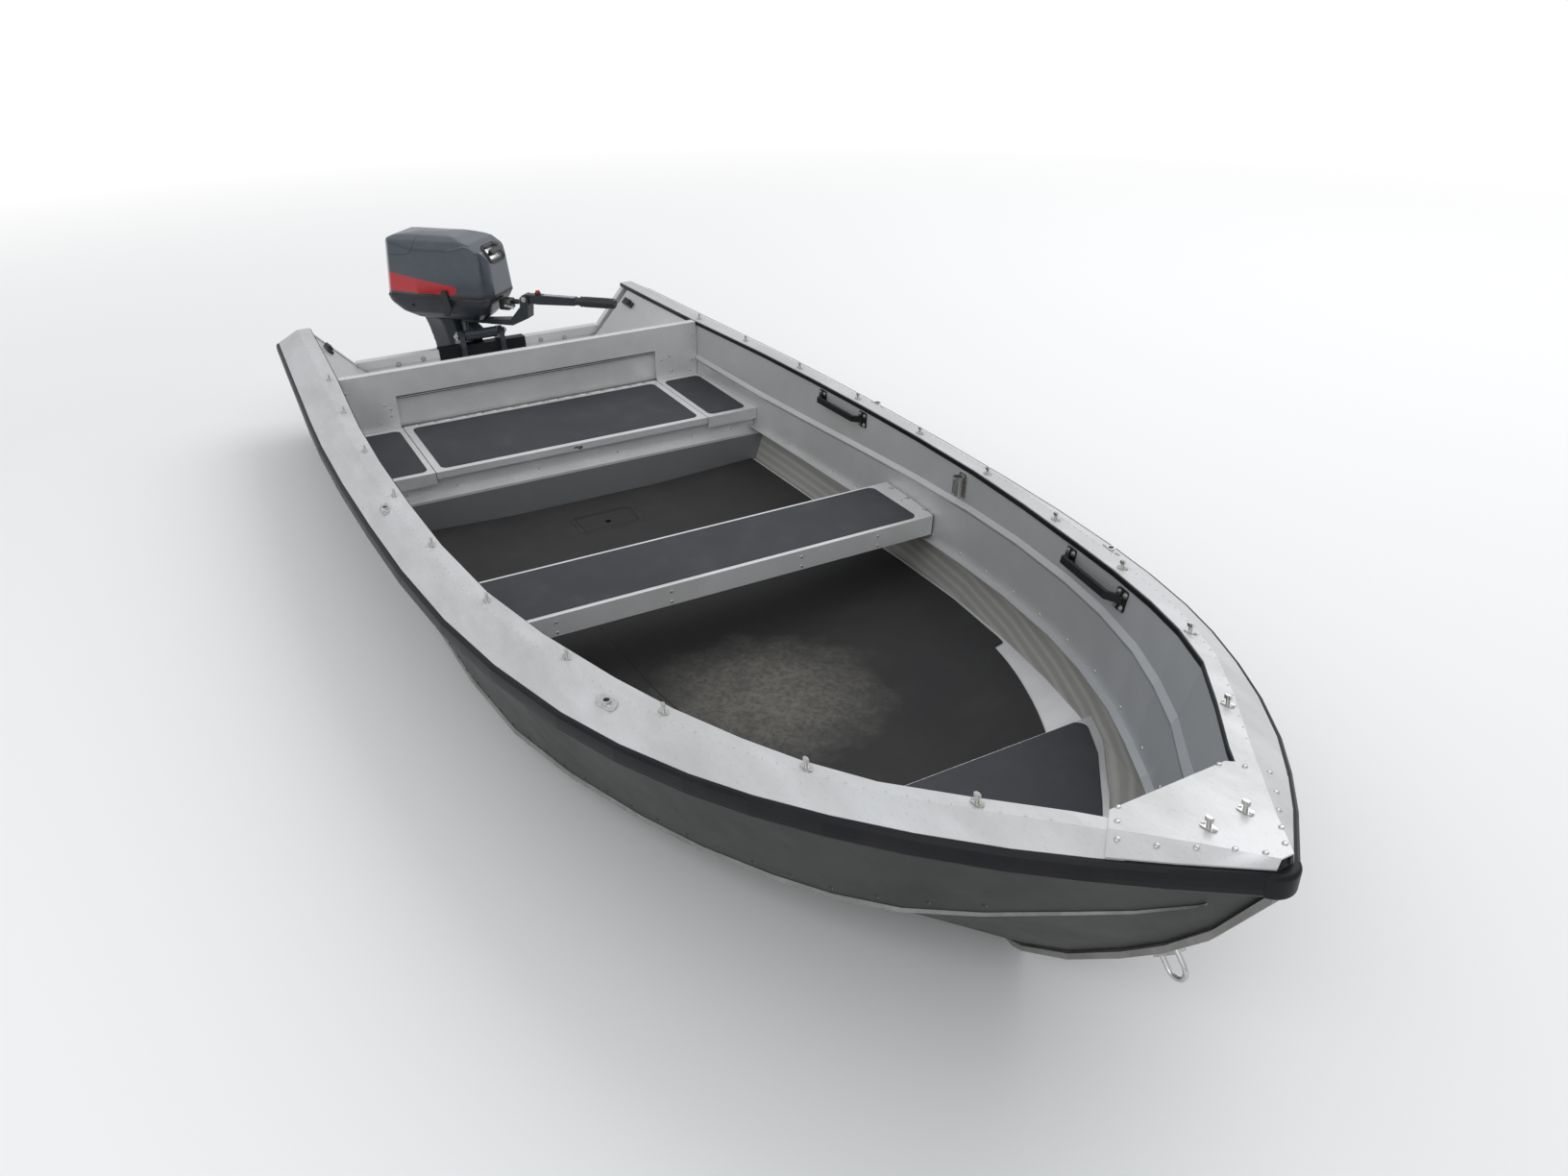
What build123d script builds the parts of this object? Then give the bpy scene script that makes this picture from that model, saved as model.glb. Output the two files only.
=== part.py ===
from build123d import *
from math import cos, hypot, radians, sin, tan
import os

# An open aluminium fishing boat with a tiller-steered outboard motor.
# Frame: +X towards the bow, +Y to port, +Z up. X is measured from the aft end of the gunwale,
# and Z = 0 is the waterline. All sizes are in millimetres.

# Hull sizes
LENGTH = 4335.0            # stern to stem, without the fender
HALF_BEAM = 863.0          # outer edge of the gunwale from the centreline
SHEER_AFT = 436.0          # gunwale height over the waterline at the stern
DRAFT = 115.0              # keel line below the waterline
SKIN = 4.0                 # hull plating
RAKE = 7.0                 # lean of the transom, in degrees
FIT = 0.3                  # clearance where one piece seats on another

# Body plan. Breadths are half-breadths as shares of HALF_BEAM, heights are over the waterline,
# and the two rises are over SHEER_AFT and over the keel line. rim_drop is how far the gunwale's
# outer rim lies below its flat inner part.
COLUMNS = (
    "x", "sheer_y", "sheer_rise", "rim_drop", "inner_y", "chine_y", "chine_z", "keel_rise",
    "foot_y", "foot_z", "ridge_z",
)
BODY_PLAN = [
    (0.0000, 0.941, 0.0, 42.0, 0.792, 0.800, 5.0, 0.0, 0.782, 146.0, 292.0),
    (0.1760, 0.978, 5.0, 42.0, 0.823, 0.811, 12.0, 0.0, 0.811, 146.0, 288.0),
    (0.3000, 1.000, 10.0, 42.0, 0.857, 0.821, 20.0, 0.0, 0.835, 146.0, 280.0),
    (0.4610, 0.990, 21.0, 42.0, 0.861, 0.825, 28.0, 0.0, 0.837, 158.0, 309.0),
    (0.6110, 0.943, 39.0, 42.0, 0.818, 0.792, 62.0, 4.0, 0.797, 190.0, 352.0),
    (0.7380, 0.832, 77.0, 42.0, 0.695, 0.649, 130.0, 23.0, 0.652, 262.0, 408.0),
    (0.8200, 0.695, 115.0, 39.0, 0.573, 0.499, 190.0, 57.0, 0.497, 300.0, 436.0),
    (0.8800, 0.538, 146.0, 32.0, 0.430, 0.353, 262.0, 140.0, 0.314, 345.0, 455.0),
    (0.9370, 0.333, 177.0, 23.0, 0.195, 0.162, 385.0, 347.0, 0.092, 465.0, 515.0),
    (0.9760, 0.141, 198.0, 18.0, 0.057, 0.056, 500.0, 545.0, 0.030, 530.0, 560.0),
    (0.9965, 0.020, 209.0, 18.0, 0.011, 0.011, 596.0, 700.0, 0.0075, 600.0, 620.0),
]
STATION_SHARES = [
    0.0, 0.1, 0.176, 0.24, 0.3, 0.38, 0.461, 0.536, 0.611, 0.675, 0.738, 0.78, 0.82, 0.85, 0.88,
    0.909, 0.937, 0.957, 0.976, 0.9965,
]

# Gunwale, inner panels and fender
GUNWALE_SHEET = 3.0
GUNWALE_DROP = 40.0        # outer flange
GUNWALE_LIP = 15.0         # inner flange
DECK_SHARE = 0.38          # flat part of the gunwale's width; the rest slopes down outwards
GUNWALE_END = 4180.0
PANEL_SHEET = 3.0
PANEL_FOOT = 22.0          # width of the inner panel's lower flange
PANEL_END = 4130.0
RIDGE = 9.0                # stand-out of the stiffening ridge
RIDGE_RUN = 14.0
EDGING = 3.0
EDGING_HIGH = 13.0
FENDER_HIGH = 46.0
FENDER_DEEP = 12.0
FENDER_TOP = 1.0           # below the gunwale's outer rim
NOSE_RADIUS = 40.0
NOSE_OUT = 5.0             # past the hull's length
NOSE_EDGE = 8.0

# Transom, splash well and bulkhead
TRANSOM_TOP = 272.0
TRANSOM_THICK = 34.0
TRANSOM_HALF = 540.0       # half-width of the lowered top
CAP_SHEET = 3.0
CAP_DROP = 30.0
PAD_PLATE = 6.0
PAD_PLATE_HALF = 190.0
PAD_PLATE_INNER = 190.0
PAD_PLATE_OUTER = 250.0
WELL_FLOOR_Z = 150.0
WELL_FLOOR_HALF = 400.0
WELL_SHEET = 3.0
BULKHEAD_X = 765.0
BEAM_DEEP = 30.0
BEAM_FOOT_Z = 345.0
BULKHEAD_SHEET = 3.0
RECESS_HALF = 520.0
RECESS_DEEP = 22.0

# Stern bench and locker
BENCH_Z = 222.0
BENCH_FRONT = 1262.0
LID_HALF = 514.0
LID_SHEET = 3.0
LID_FLANGE = 24.0
LID_GAP = 3.0
SIDE_FLANGE = 42.0
LEDGE_Z = 128.0
LEDGE_OUT = 34.0
RISER_TOP_X = 1240.0
RISER_SHEET = 3.0
PAD = 2.0
PAD_MARGIN = 26.0
PAD_CORNER = 24.0

# Floor
FLOOR_Z = 6.0
FLOOR_FLAT_HALF = 280.0
FLOOR_SHEET = 3.0
FLOOR_EDGE = 8.0           # from the floor's edge to the plating
MAT_SHEET = 5.0
MAT_NOSE = ((2960.0, 571.0), (3235.0, 473.0), (3438.0, 368.0))
HATCH_X = 1430.0
HATCH_LONG = 196.0
HATCH_WIDE = 112.0

# Mid thwart
THWART_AFT = 2185.0
THWART_FRONT = 2470.0
THWART_Z = 260.0
THWART_DEEP = 62.0
THWART_SHEET = 4.0
SEAT_GAP = 6.0             # from a seat's end to the side panel
SLOT_IN = 26.0             # from a thwart's end to the slot near it

# Bow seat
BOW_SEAT_AFT = 3440.0
BOW_SEAT_Z = 188.0
BOW_SEAT_DEEP = 26.0
BOW_WALL = 3.0
BOW_SEAT_END = 3900.0

# Bow plate
BOW_PLATE_AFT = 4092.0
BOW_PLATE_HALF = 124.0
BOW_PLATE_SHEET = 3.0
SEAM_X = 4157.0            # outer end of the seam between gunwale and plate
SEAM_OUT = 190.0
PLATE_STUD = (4210.0, -0.8)

# Fittings
STUD_SPOTS = [744, 1125, 1531, 1930, 2310, 2694, 3061, 3385, 3709, 3960]
STUD_RADIUS = 4.0
STUD_HIGH = 19.0
STUD_FOOT = (30.0, 15.0, 2.5)
STUD_HEAD = (13.0, 5.5, 8.0)
SOCKET_SPOTS = [1988.0, 3270.0]
SOCKET_SHARE = 0.27        # of the gunwale's slope from its crease
SOCKET_RISE = 8.0          # rim of the socket over the slope
SOCKET_BORE = 6.75         # radius of the bore for a rowlock pin
SOCKET_WALL = 4.0
SOCKET_DEEP = 42.0
SOCKET_PLATE = (64.0, 26.0, 3.0)
HANDLE_SPOTS = [1870.0, 3315.0]
HANDLE_SPAN = 264.0
HANDLE_OUT = 36.0
HANDLE_BAR = 18.0
HANDLE_FOOT = (46.0, 50.0, 4.0)
HANDLE_DROP = 46.0
TUBE_SPOT = 2600.0
TUBE_BORE = 14.0
TUBE_WALL = 1.5
TUBE_LONG = 56.0
TUBE_DROP = 34.0
EYE_Z = 318.0
EYE_ROD = 5.0
EYE_SPAN = 44.0
EYE_OUT = 62.0
STEM_HALF = 11.0
STEM_OUT = 12.0
RAIL_OUT = 9.0
RAIL_SHARE = 0.035         # of the topside's height
CLEAT_X = 170.0
CLEAT_SHARE = 0.76         # of the quarter's slope from its foot
CLEAT = (96.0, 26.0, 10.0)

# Outboard motor. Heights are over the transom's top. Lengths run forward from the steering axis,
# or from the transom's outer face where the clamp bracket is meant.
STEER_BACK = 105.0         # steering axis behind the transom
STEERED = 45.0             # at rest the tiller is hard over to port
TILT_AHEAD = 30.0
TILT_H = 46.0
TILT_TUBE = 13.0
ARM_INNER = 76.0           # half-gap between the clamp arms
ARM_THICK = 22.0
BRACKET_FOOT = -230.0
CLAMP_SCREW_H = -66.0
CLAMP_SCREW = 6.0
SWIVEL_HALF = 70.0
SWIVEL_LUG = 22.0
SWIVEL_TUBE = 27.0
SWIVEL_TOP = 66.0
SWIVEL_FOOT = -190.0
STEER_SHAFT = 12.0
RUNNING = 0.05             # radial clearance of a turning shaft
YOKE_LOW = 70.0
YOKE_HIGH = 88.0
YOKE_REACH = 120.0
PAN_FOOT = 92.0
PAN_HALF = 70.0
COWL_FOOT = 204.0
COWL_HALF = 142.0
COWL_REAR = -334.0
COWL_FRONT = 180.0
COWL_TOP = 460.0
LEG_FRONT = -38.0
PLATE_H = -400.0
SHAFT_H = -522.0
SKEG_FOOT = -630.0
PROP_X = -256.0
PROP_RADIUS = 117.0
PROP_BLADES = 3
PROP_SHAFT = 8.0
HUB_RADIUS = 31.0
HUB_LONG = 72.0
TILLER_X = 286.0
TILLER_H = 188.0
TILLER_LONG = 236.0
TILLER_HALF = 17.0
TILLER_PIN = 6.0
TILLER_EYE = 19.0
GRIP_LONG = 182.0
GRIP_RADIUS = 21.0
GRIP_NECK = 24.0

os.makedirs("parts", exist_ok=True)


def save(shape, name):
    shape.label = name
    export_step(shape, "parts/" + name + ".step")


def fair(column, share):
    """A column of the body plan at a share of the length, on a smooth curve through its lines."""
    xs = [line[0] for line in BODY_PLAN]
    ys = [line[column] for line in BODY_PLAN]
    last = len(xs) - 1
    i = max(k for k in range(last) if xs[k] <= share + 1e-9)
    step = xs[i + 1] - xs[i]
    rise = (ys[i + 1] - ys[i]) / step
    before = (ys[i] - ys[i - 1]) / (xs[i] - xs[i - 1]) if i > 0 else rise
    after = (ys[i + 2] - ys[i + 1]) / (xs[i + 2] - xs[i + 1]) if i + 1 < last else rise
    start = (before + rise) / 2 * step
    end = (rise + after) / 2 * step
    t = (share - xs[i]) / step
    return (
        ys[i] * (2 * t**3 - 3 * t**2 + 1) + start * (t**3 - 2 * t**2 + t)
        + ys[i + 1] * (3 * t**2 - 2 * t**3) + end * (t**3 - t**2)
    )


def station(share):
    """One section of the hull in millimetres."""
    line = {name: fair(i, share) for i, name in enumerate(COLUMNS)}
    place = {"x": share * LENGTH}
    for name in ("sheer_y", "inner_y", "chine_y", "foot_y"):
        place[name] = line[name] * HALF_BEAM
    place["sheer_z"] = SHEER_AFT + line["sheer_rise"]
    place["rim_z"] = place["sheer_z"] - line["rim_drop"]
    place["crease_y"] = place["inner_y"] + DECK_SHARE * (place["sheer_y"] - place["inner_y"])
    place["keel_z"] = line["keel_rise"] - DRAFT
    for name in ("chine_z", "foot_z", "ridge_z"):
        place[name] = line[name]
    return place


STATIONS = [station(share) for share in STATION_SHARES]
BOW_END = STATIONS[-1]["x"]


def section(x):
    """The hull's section at any x, on straight lines between the stations."""
    for aft, fore in zip(STATIONS, STATIONS[1:]):
        if x <= fore["x"]:
            break
    share = (x - aft["x"]) / (fore["x"] - aft["x"])
    return {name: aft[name] + share * (fore[name] - aft[name]) for name in aft}


def between(first, last):
    """Sections from one x to another: both ends and the stations inside."""
    return (
        [section(first)] + [s for s in STATIONS if first + 1 < s["x"] < last - 1] + [section(last)]
    )


def splay(s):
    """How much wider a sheet measures across the boat where the sheer turns inwards."""
    reach = 30.0
    slope = (section(s["x"] + reach)["sheer_y"] - section(s["x"] - reach)["sheer_y"]) / reach / 2
    return min(hypot(1.0, slope), 1.7)


def ruled(sections, outline):
    """A solid with straight runs between one closed outline of (y, z) points at each section."""
    with BuildPart() as body:
        for s in sections:
            with BuildSketch(Plane.YZ.offset(s["x"])):
                with BuildLine():
                    Polyline(*outline(s), close=True)
                make_face()
        loft(ruled=True)
    return body.part


def mirrored(points):
    """An outline over both sides from its port points, which start and end at the middle."""
    return points + [(-y, z) for y, z in reversed(points) if y > 0.01]


def both_sides(shape):
    return Compound(children=[shape, shape.mirror(Plane.XZ)])


def along(low, high, z):
    """The y of the line from low to high at a height; both are (y, z)."""
    return low[0] + (high[0] - low[0]) * (z - low[1]) / (high[1] - low[1])


# Lines of the section that several pieces share

def skin_top(s):
    k = splay(s)
    return (
        s["sheer_y"] - (GUNWALE_SHEET + FIT) * k,
        s["rim_z"] - GUNWALE_SHEET - FIT,
    )


def skin_inner_top(s):
    y, z = skin_top(s)
    return y - SKIN * splay(s), z


def chine_inner(s):
    return s["chine_y"] - SKIN, s["chine_z"] + 0.6 * SKIN


def keel_inner(s):
    slope = (s["chine_z"] - s["keel_z"]) / s["chine_y"]
    return 0.0, s["keel_z"] + SKIN * min(hypot(1.0, slope), 2.0)


def panel_top(s):
    return s["inner_y"], s["sheer_z"] - GUNWALE_LIP - FIT


def panel_foot(s):
    return s["foot_y"], s["foot_z"] + PANEL_SHEET


def panel_y(s, z):
    return along(panel_foot(s), panel_top(s), z)


def panel_face(s):
    """The inner panel's face towards the boat, from the foot to the top."""
    ridge = s["ridge_z"]
    return [
        panel_foot(s),
        (panel_y(s, ridge - RIDGE_RUN), ridge - RIDGE_RUN),
        (panel_y(s, ridge) - RIDGE, ridge),
        (panel_y(s, ridge + RIDGE_RUN), ridge + RIDGE_RUN),
        panel_top(s),
    ]


def cabin(first, last, gap):
    """The space inside the plating and the inner panels, less a gap all round."""

    def outline(s):
        top = panel_top(s)
        under = s["foot_z"] - gap
        skin = along(chine_inner(s), skin_inner_top(s), under)
        points = [
            (0.0, keel_inner(s)[1] + gap),
            (chine_inner(s)[0] - gap, chine_inner(s)[1] + gap),
            (skin - gap, under),
            (s["foot_y"] - PANEL_FOOT - gap, under),
            (s["foot_y"] - PANEL_FOOT - gap, s["foot_z"] + PANEL_SHEET + gap),
        ]
        points += [(y - gap, z + gap if i == 0 else z) for i, (y, z) in enumerate(panel_face(s)[:-1])]
        trim = top[0] - FIT - EDGING - gap
        points += [(top[0] - gap, top[1] - 3.0), (trim, top[1] - 3.0), (trim, s["sheer_z"])]
        points += [(0.0, s["sheer_z"])]
        return mirrored(points)

    return ruled(between(first, last), outline)


# Hull

TRANSOM_FACE = Plane(
    origin=(0, 0, SHEER_AFT), x_dir=(0, 1, 0),
    z_dir=(cos(radians(RAKE)), 0, sin(radians(RAKE))),
)
TRANSOM_X = (SHEER_AFT - TRANSOM_TOP) * tan(radians(RAKE))


def hull_bottom():
    """The V-shaped bottom, from chine to chine."""

    def outline(s):
        outer = [(s["chine_y"], s["chine_z"]), (0.0, s["keel_z"]), (-s["chine_y"], s["chine_z"])]
        y, z = chine_inner(s)
        return outer + [(-y, z), keel_inner(s), (y, z)]

    with BuildPart() as body:
        add(ruled(STATIONS, outline))
        split(bisect_by=TRANSOM_FACE, keep=Keep.TOP)
    return body.part


def hull_side():
    """The port topside, from the chine to the gunwale."""

    def outline(s):
        return [(s["chine_y"], s["chine_z"]), skin_top(s), skin_inner_top(s), chine_inner(s)]

    with BuildPart() as body:
        add(ruled(STATIONS, outline))
        split(bisect_by=TRANSOM_FACE, keep=Keep.TOP)
    return body.part


def stem_and_keel():
    """The bar that runs along the keel and up the stem."""

    def outline(s):
        ahead = section(s["x"] + 20.0)["keel_z"]
        behind = section(s["x"] - 20.0)["keel_z"]
        steep = min(hypot(1.0, (ahead - behind) / 40.0), 3.2)
        top = s["keel_z"] - FIT * steep
        return [(STEM_HALF, top), (-STEM_HALF, top), (-STEM_HALF, top - STEM_OUT * steep),
                (STEM_HALF, top - STEM_OUT * steep)]

    return ruled(between(90.0, BOW_END), outline)


def chine_rail():
    """The spray rail along the port chine."""

    def outline(s):
        y, z = s["chine_y"] + FIT, s["chine_z"]
        side_y = y + RAIL_SHARE * (skin_top(s)[0] - s["chine_y"])
        side_z = z + RAIL_SHARE * (skin_top(s)[1] - z)
        return [(y, z), (y + RAIL_OUT, z), (side_y + 2.0, side_z), (side_y, side_z)]

    return ruled(between(80.0, 4240.0), outline)


def gunwale():
    """The port gunwale: a flat inner part, a sloping outer part and a flange at both edges."""

    def outline(s):
        k = splay(s)
        y, rim, z, inner, crease = s["sheer_y"], s["rim_z"], s["sheer_z"], s["inner_y"], s["crease_y"]
        sheet = GUNWALE_SHEET
        fall = (z - rim) / (y - crease)
        under = rim + fall * sheet * k - sheet * hypot(1.0, fall)
        return [
            (y, rim - GUNWALE_DROP), (y, rim), (crease, z), (inner, z),
            (inner, z - GUNWALE_LIP), (inner + sheet * k, z - GUNWALE_LIP),
            (inner + sheet * k, z - sheet), (crease - 0.3 * sheet, z - sheet),
            (y - sheet * k, under), (y - sheet * k, rim - GUNWALE_DROP),
        ]

    with BuildPart() as body:
        add(ruled(between(0.0, GUNWALE_END), outline))
        for x in SOCKET_SPOTS:
            with BuildSketch(upright(x).offset(-SOCKET_DEEP)):
                Circle(SOCKET_BORE + SOCKET_WALL + FIT)
            extrude(amount=2 * SOCKET_DEEP, mode=Mode.SUBTRACT)
    return body.part


def gunwale_edging():
    """The black strip on the gunwale's inner lip."""

    def outline(s):
        y = s["inner_y"] - FIT
        top = s["sheer_z"] - 3.0
        return [(y, top), (y - EDGING, top), (y - EDGING, top - EDGING_HIGH), (y, top - EDGING_HIGH)]

    return ruled(between(0.0, BOW_PLATE_AFT - 2.0), outline)


def fender():
    """The rubber fender along the gunwale's rim, closed by a moulded nose at the bow."""

    def outline(s):
        k = splay(s)
        y, top = s["sheer_y"] + FIT * k, s["rim_z"] - FENDER_TOP
        low = top - FENDER_HIGH
        bulge = FENDER_DEEP * k
        return [
            (y, top), (y + 0.5 * bulge, top - 1.5), (y + 0.9 * bulge, top - 8.0),
            (y + bulge, top - 18.0), (y + bulge, low + 18.0), (y + 0.9 * bulge, low + 8.0),
            (y + 0.5 * bulge, low + 1.5), (y, low),
        ]

    strip = ruled(between(0.0, BOW_END), outline)
    nose_x = LENGTH + NOSE_OUT - NOSE_RADIUS
    nose_top = STATIONS[-1]["rim_z"] - FENDER_TOP
    with BuildPart() as body:
        with BuildSketch(Plane.XY.offset(nose_top - FENDER_HIGH)):
            with Locations((nose_x, 0)):
                Circle(NOSE_RADIUS)
            with Locations((BOW_END - LENGTH / 2, 0)):
                Rectangle(LENGTH, HALF_BEAM, mode=Mode.SUBTRACT)
        extrude(amount=FENDER_HIGH)
        fillet(body.edges().filter_by(GeomType.CIRCLE), radius=NOSE_EDGE)
        add(strip)
        mirror(strip, about=Plane.XZ)
    return body.part


def side_panel():
    """The port inner panel, with a ridge along it and a flange at its foot."""

    def outline(s):
        k = splay(s)
        y, z = panel_foot(s)
        top = panel_top(s)
        return panel_face(s) + [
            (top[0] + PANEL_SHEET * k, top[1]), (y + PANEL_SHEET * k, s["foot_z"]),
            (y - PANEL_FOOT, s["foot_z"]), (y - PANEL_FOOT, z),
        ]

    return ruled(between(BULKHEAD_X + 1.0, PANEL_END), outline)


def transom():
    """The raked transom, high at its corners and lowered for the motor."""
    s = STATIONS[0]
    gap = 1.0
    top = s["sheer_z"] - 20.0
    shoulder = skin_inner_top(s)[1] - 2.0
    skin = along(chine_inner(s), skin_inner_top(s), shoulder) - gap
    corner = s["inner_y"] - 6.0
    points = [
        (0.0, keel_inner(s)[1] + gap), (chine_inner(s)[0] - gap, chine_inner(s)[1] + gap),
        (skin, shoulder), (s["crease_y"] + 8.0, top), (corner, top), (TRANSOM_HALF, TRANSOM_TOP),
        (0.0, TRANSOM_TOP),
    ]
    with BuildPart() as body:
        with BuildSketch(Plane.YZ.offset(-1.0)):
            with BuildLine():
                Polyline(*mirrored(points), close=True)
            make_face()
        extrude(amount=200.0)
        split(bisect_by=TRANSOM_FACE, keep=Keep.TOP)
        split(bisect_by=TRANSOM_FACE.offset(TRANSOM_THICK), keep=Keep.BOTTOM)
    return body.part


def saddle(half_from, half_to, sheet, drop_in, drop_out):
    """A channel over the transom's top edge, from one half-width to another on the port side."""
    lean = tan(radians(RAKE))
    thick = TRANSOM_THICK / cos(radians(RAKE))
    x, z = TRANSOM_X, TRANSOM_TOP

    def face(depth, out):
        return x + depth * lean + out, z - depth

    profile = [
        face(drop_out, -sheet - FIT), face(-sheet - FIT, -sheet - FIT),
        face(-sheet - FIT, thick + sheet + FIT), face(drop_in, thick + sheet + FIT),
        face(drop_in, thick + FIT), face(-FIT, thick + FIT), face(-FIT, -FIT),
        face(drop_out, -FIT),
    ]
    with BuildPart() as body:
        with BuildSketch(Plane.XZ.offset(-half_to)):
            with BuildLine():
                Polyline(*profile, close=True)
            make_face()
        extrude(amount=half_to - half_from)
    return body.part


def splash_well():
    """The trough between transom and bulkhead, with sloping sides."""
    aft = TRANSOM_X + TRANSOM_THICK + 28.0
    fore = BULKHEAD_X - BEAM_DEEP - FIT

    def outline(s):
        edge = (s["inner_y"] - EDGING - 1.0, s["sheer_z"] - GUNWALE_LIP - 3.0)
        knee = (TRANSOM_HALF, TRANSOM_TOP - 6.0)
        heel = (WELL_FLOOR_HALF, WELL_FLOOR_Z)
        upper = [edge, knee, heel, (0.0, WELL_FLOOR_Z)]
        under = [(y, z - WELL_SHEET * 1.4) for y, z in upper]
        port = upper[:-1]
        return (
            port + [(-y, z) for y, z in reversed(port)]
            + [(-y, z) for y, z in under[:-1]] + [(y, z) for y, z in reversed(under[:-1])]
        )

    return ruled([section(aft), section(fore)], outline)


def bulkhead():
    """The cross wall before the well: a box beam at the top and plates at both sides."""
    s = section(BULKHEAD_X)
    top = s["sheer_z"] - 2.0
    with BuildPart() as body:
        with BuildSketch(Plane.YZ.offset(BULKHEAD_X - BULKHEAD_SHEET)):
            with Locations((0, (top + BENCH_Z) / 2)):
                Rectangle(4 * HALF_BEAM, top - BENCH_Z)
            with Locations((0, (BENCH_Z + BEAM_FOOT_Z) / 2)):
                Rectangle(2 * RECESS_HALF, BEAM_FOOT_Z - BENCH_Z, mode=Mode.SUBTRACT)
        extrude(amount=BULKHEAD_SHEET)
        with BuildSketch(Plane.XZ):
            with Locations((BULKHEAD_X - BEAM_DEEP / 2, top - BULKHEAD_SHEET / 2)):
                Rectangle(BEAM_DEEP, BULKHEAD_SHEET)
            with Locations((BULKHEAD_X - BEAM_DEEP + BULKHEAD_SHEET / 2, (top + WELL_FLOOR_Z) / 2)):
                Rectangle(BULKHEAD_SHEET, top - WELL_FLOOR_Z + 10.0)
        extrude(amount=2 * HALF_BEAM, both=True)
        add(cabin(BULKHEAD_X - BEAM_DEEP - 5.0, BULKHEAD_X + 5.0, 1.0), mode=Mode.INTERSECT)
    return body.part


def back_panel():
    """The recessed panel behind the bench."""
    with BuildPart() as body:
        with BuildSketch(Plane.YZ.offset(BULKHEAD_X - RECESS_DEEP)):
            with Locations((0, (BENCH_Z + BEAM_FOOT_Z) / 2 - 3.0)):
                Rectangle(2 * RECESS_HALF + 30.0, BEAM_FOOT_Z - BENCH_Z - 8.0)
        extrude(amount=BULKHEAD_SHEET)
        with BuildSketch(Plane.XZ):
            with Locations((BULKHEAD_X - RECESS_DEEP + 8.0, BEAM_FOOT_Z - 8.5)):
                Rectangle(16.0, BULKHEAD_SHEET)
        extrude(amount=RECESS_HALF - 1.0, both=True)
        with BuildSketch(Plane.XY.offset(BENCH_Z + 1.0)):
            for side in (1, -1):
                with Locations((BULKHEAD_X - (RECESS_DEEP + BULKHEAD_SHEET + FIT) / 2,
                                side * (RECESS_HALF + 13.5))):
                    Rectangle(RECESS_DEEP - BULKHEAD_SHEET - FIT, BULKHEAD_SHEET)
        extrude(amount=BEAM_FOOT_Z - BENCH_Z - 8.0)
    return body.part


def bench_frame():
    """The fixed part of the stern bench: side covers, locker walls, riser and ledge."""
    under = BENCH_Z - LID_SHEET - FIT
    riser_foot_x = RISER_TOP_X + LEDGE_OUT + 6.0
    side_inner = LID_HALF + LID_GAP
    back = BULKHEAD_X + 1.0
    with BuildPart() as body:
        # riser, stepped forward at the ledge
        with BuildSketch(Plane.XZ):
            with BuildLine():
                Polyline(
                    (RISER_TOP_X, under), (RISER_TOP_X, LEDGE_Z + RISER_SHEET),
                    (RISER_TOP_X + LEDGE_OUT, LEDGE_Z + RISER_SHEET),
                    (RISER_TOP_X + LEDGE_OUT, LEDGE_Z - 6.0), (riser_foot_x, FLOOR_Z + 2.0),
                    (riser_foot_x - RISER_SHEET, FLOOR_Z + 2.0),
                    (RISER_TOP_X + LEDGE_OUT - RISER_SHEET, LEDGE_Z - 6.0),
                    (RISER_TOP_X + LEDGE_OUT - RISER_SHEET, LEDGE_Z),
                    (RISER_TOP_X - RISER_SHEET, LEDGE_Z), (RISER_TOP_X - RISER_SHEET, under),
                    close=True,
                )
            make_face()
        extrude(amount=2 * HALF_BEAM, both=True)
        # side covers with their front flanges
        with BuildSketch(Plane.XY.offset(BENCH_Z - LID_SHEET)):
            for side in (1, -1):
                with Locations(((back + BENCH_FRONT) / 2, side * (side_inner + HALF_BEAM) / 2)):
                    Rectangle(BENCH_FRONT - back, HALF_BEAM - side_inner)
        extrude(amount=LID_SHEET)
        with BuildSketch(Plane.YZ.offset(BENCH_FRONT - LID_SHEET)):
            for side in (1, -1):
                with Locations((side * (side_inner + HALF_BEAM) / 2, BENCH_Z - SIDE_FLANGE / 2)):
                    Rectangle(HALF_BEAM - side_inner, SIDE_FLANGE)
        extrude(amount=LID_SHEET)
        # locker side walls
        with BuildSketch(Plane.XY.offset(FLOOR_Z + 2.0)):
            for side in (1, -1):
                with Locations(((back + RISER_TOP_X) / 2, side * (side_inner + RISER_SHEET / 2))):
                    Rectangle(RISER_TOP_X - back, RISER_SHEET)
        extrude(amount=BENCH_Z - LID_SHEET - FLOOR_Z - 2.0)
        # locker back wall and bottom
        with BuildSketch(Plane.XZ):
            with Locations((back + RISER_SHEET / 2, (under + FLOOR_Z) / 2)):
                Rectangle(RISER_SHEET, under - FLOOR_Z)
            with Locations(((back + RISER_TOP_X) / 2, FLOOR_Z + RISER_SHEET)):
                Rectangle(RISER_TOP_X - back, RISER_SHEET)
        extrude(amount=side_inner + RISER_SHEET, both=True)
        add(cabin(BULKHEAD_X - 5.0, BENCH_FRONT + 60.0, 1.0), mode=Mode.INTERSECT)
    return body.part


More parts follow.
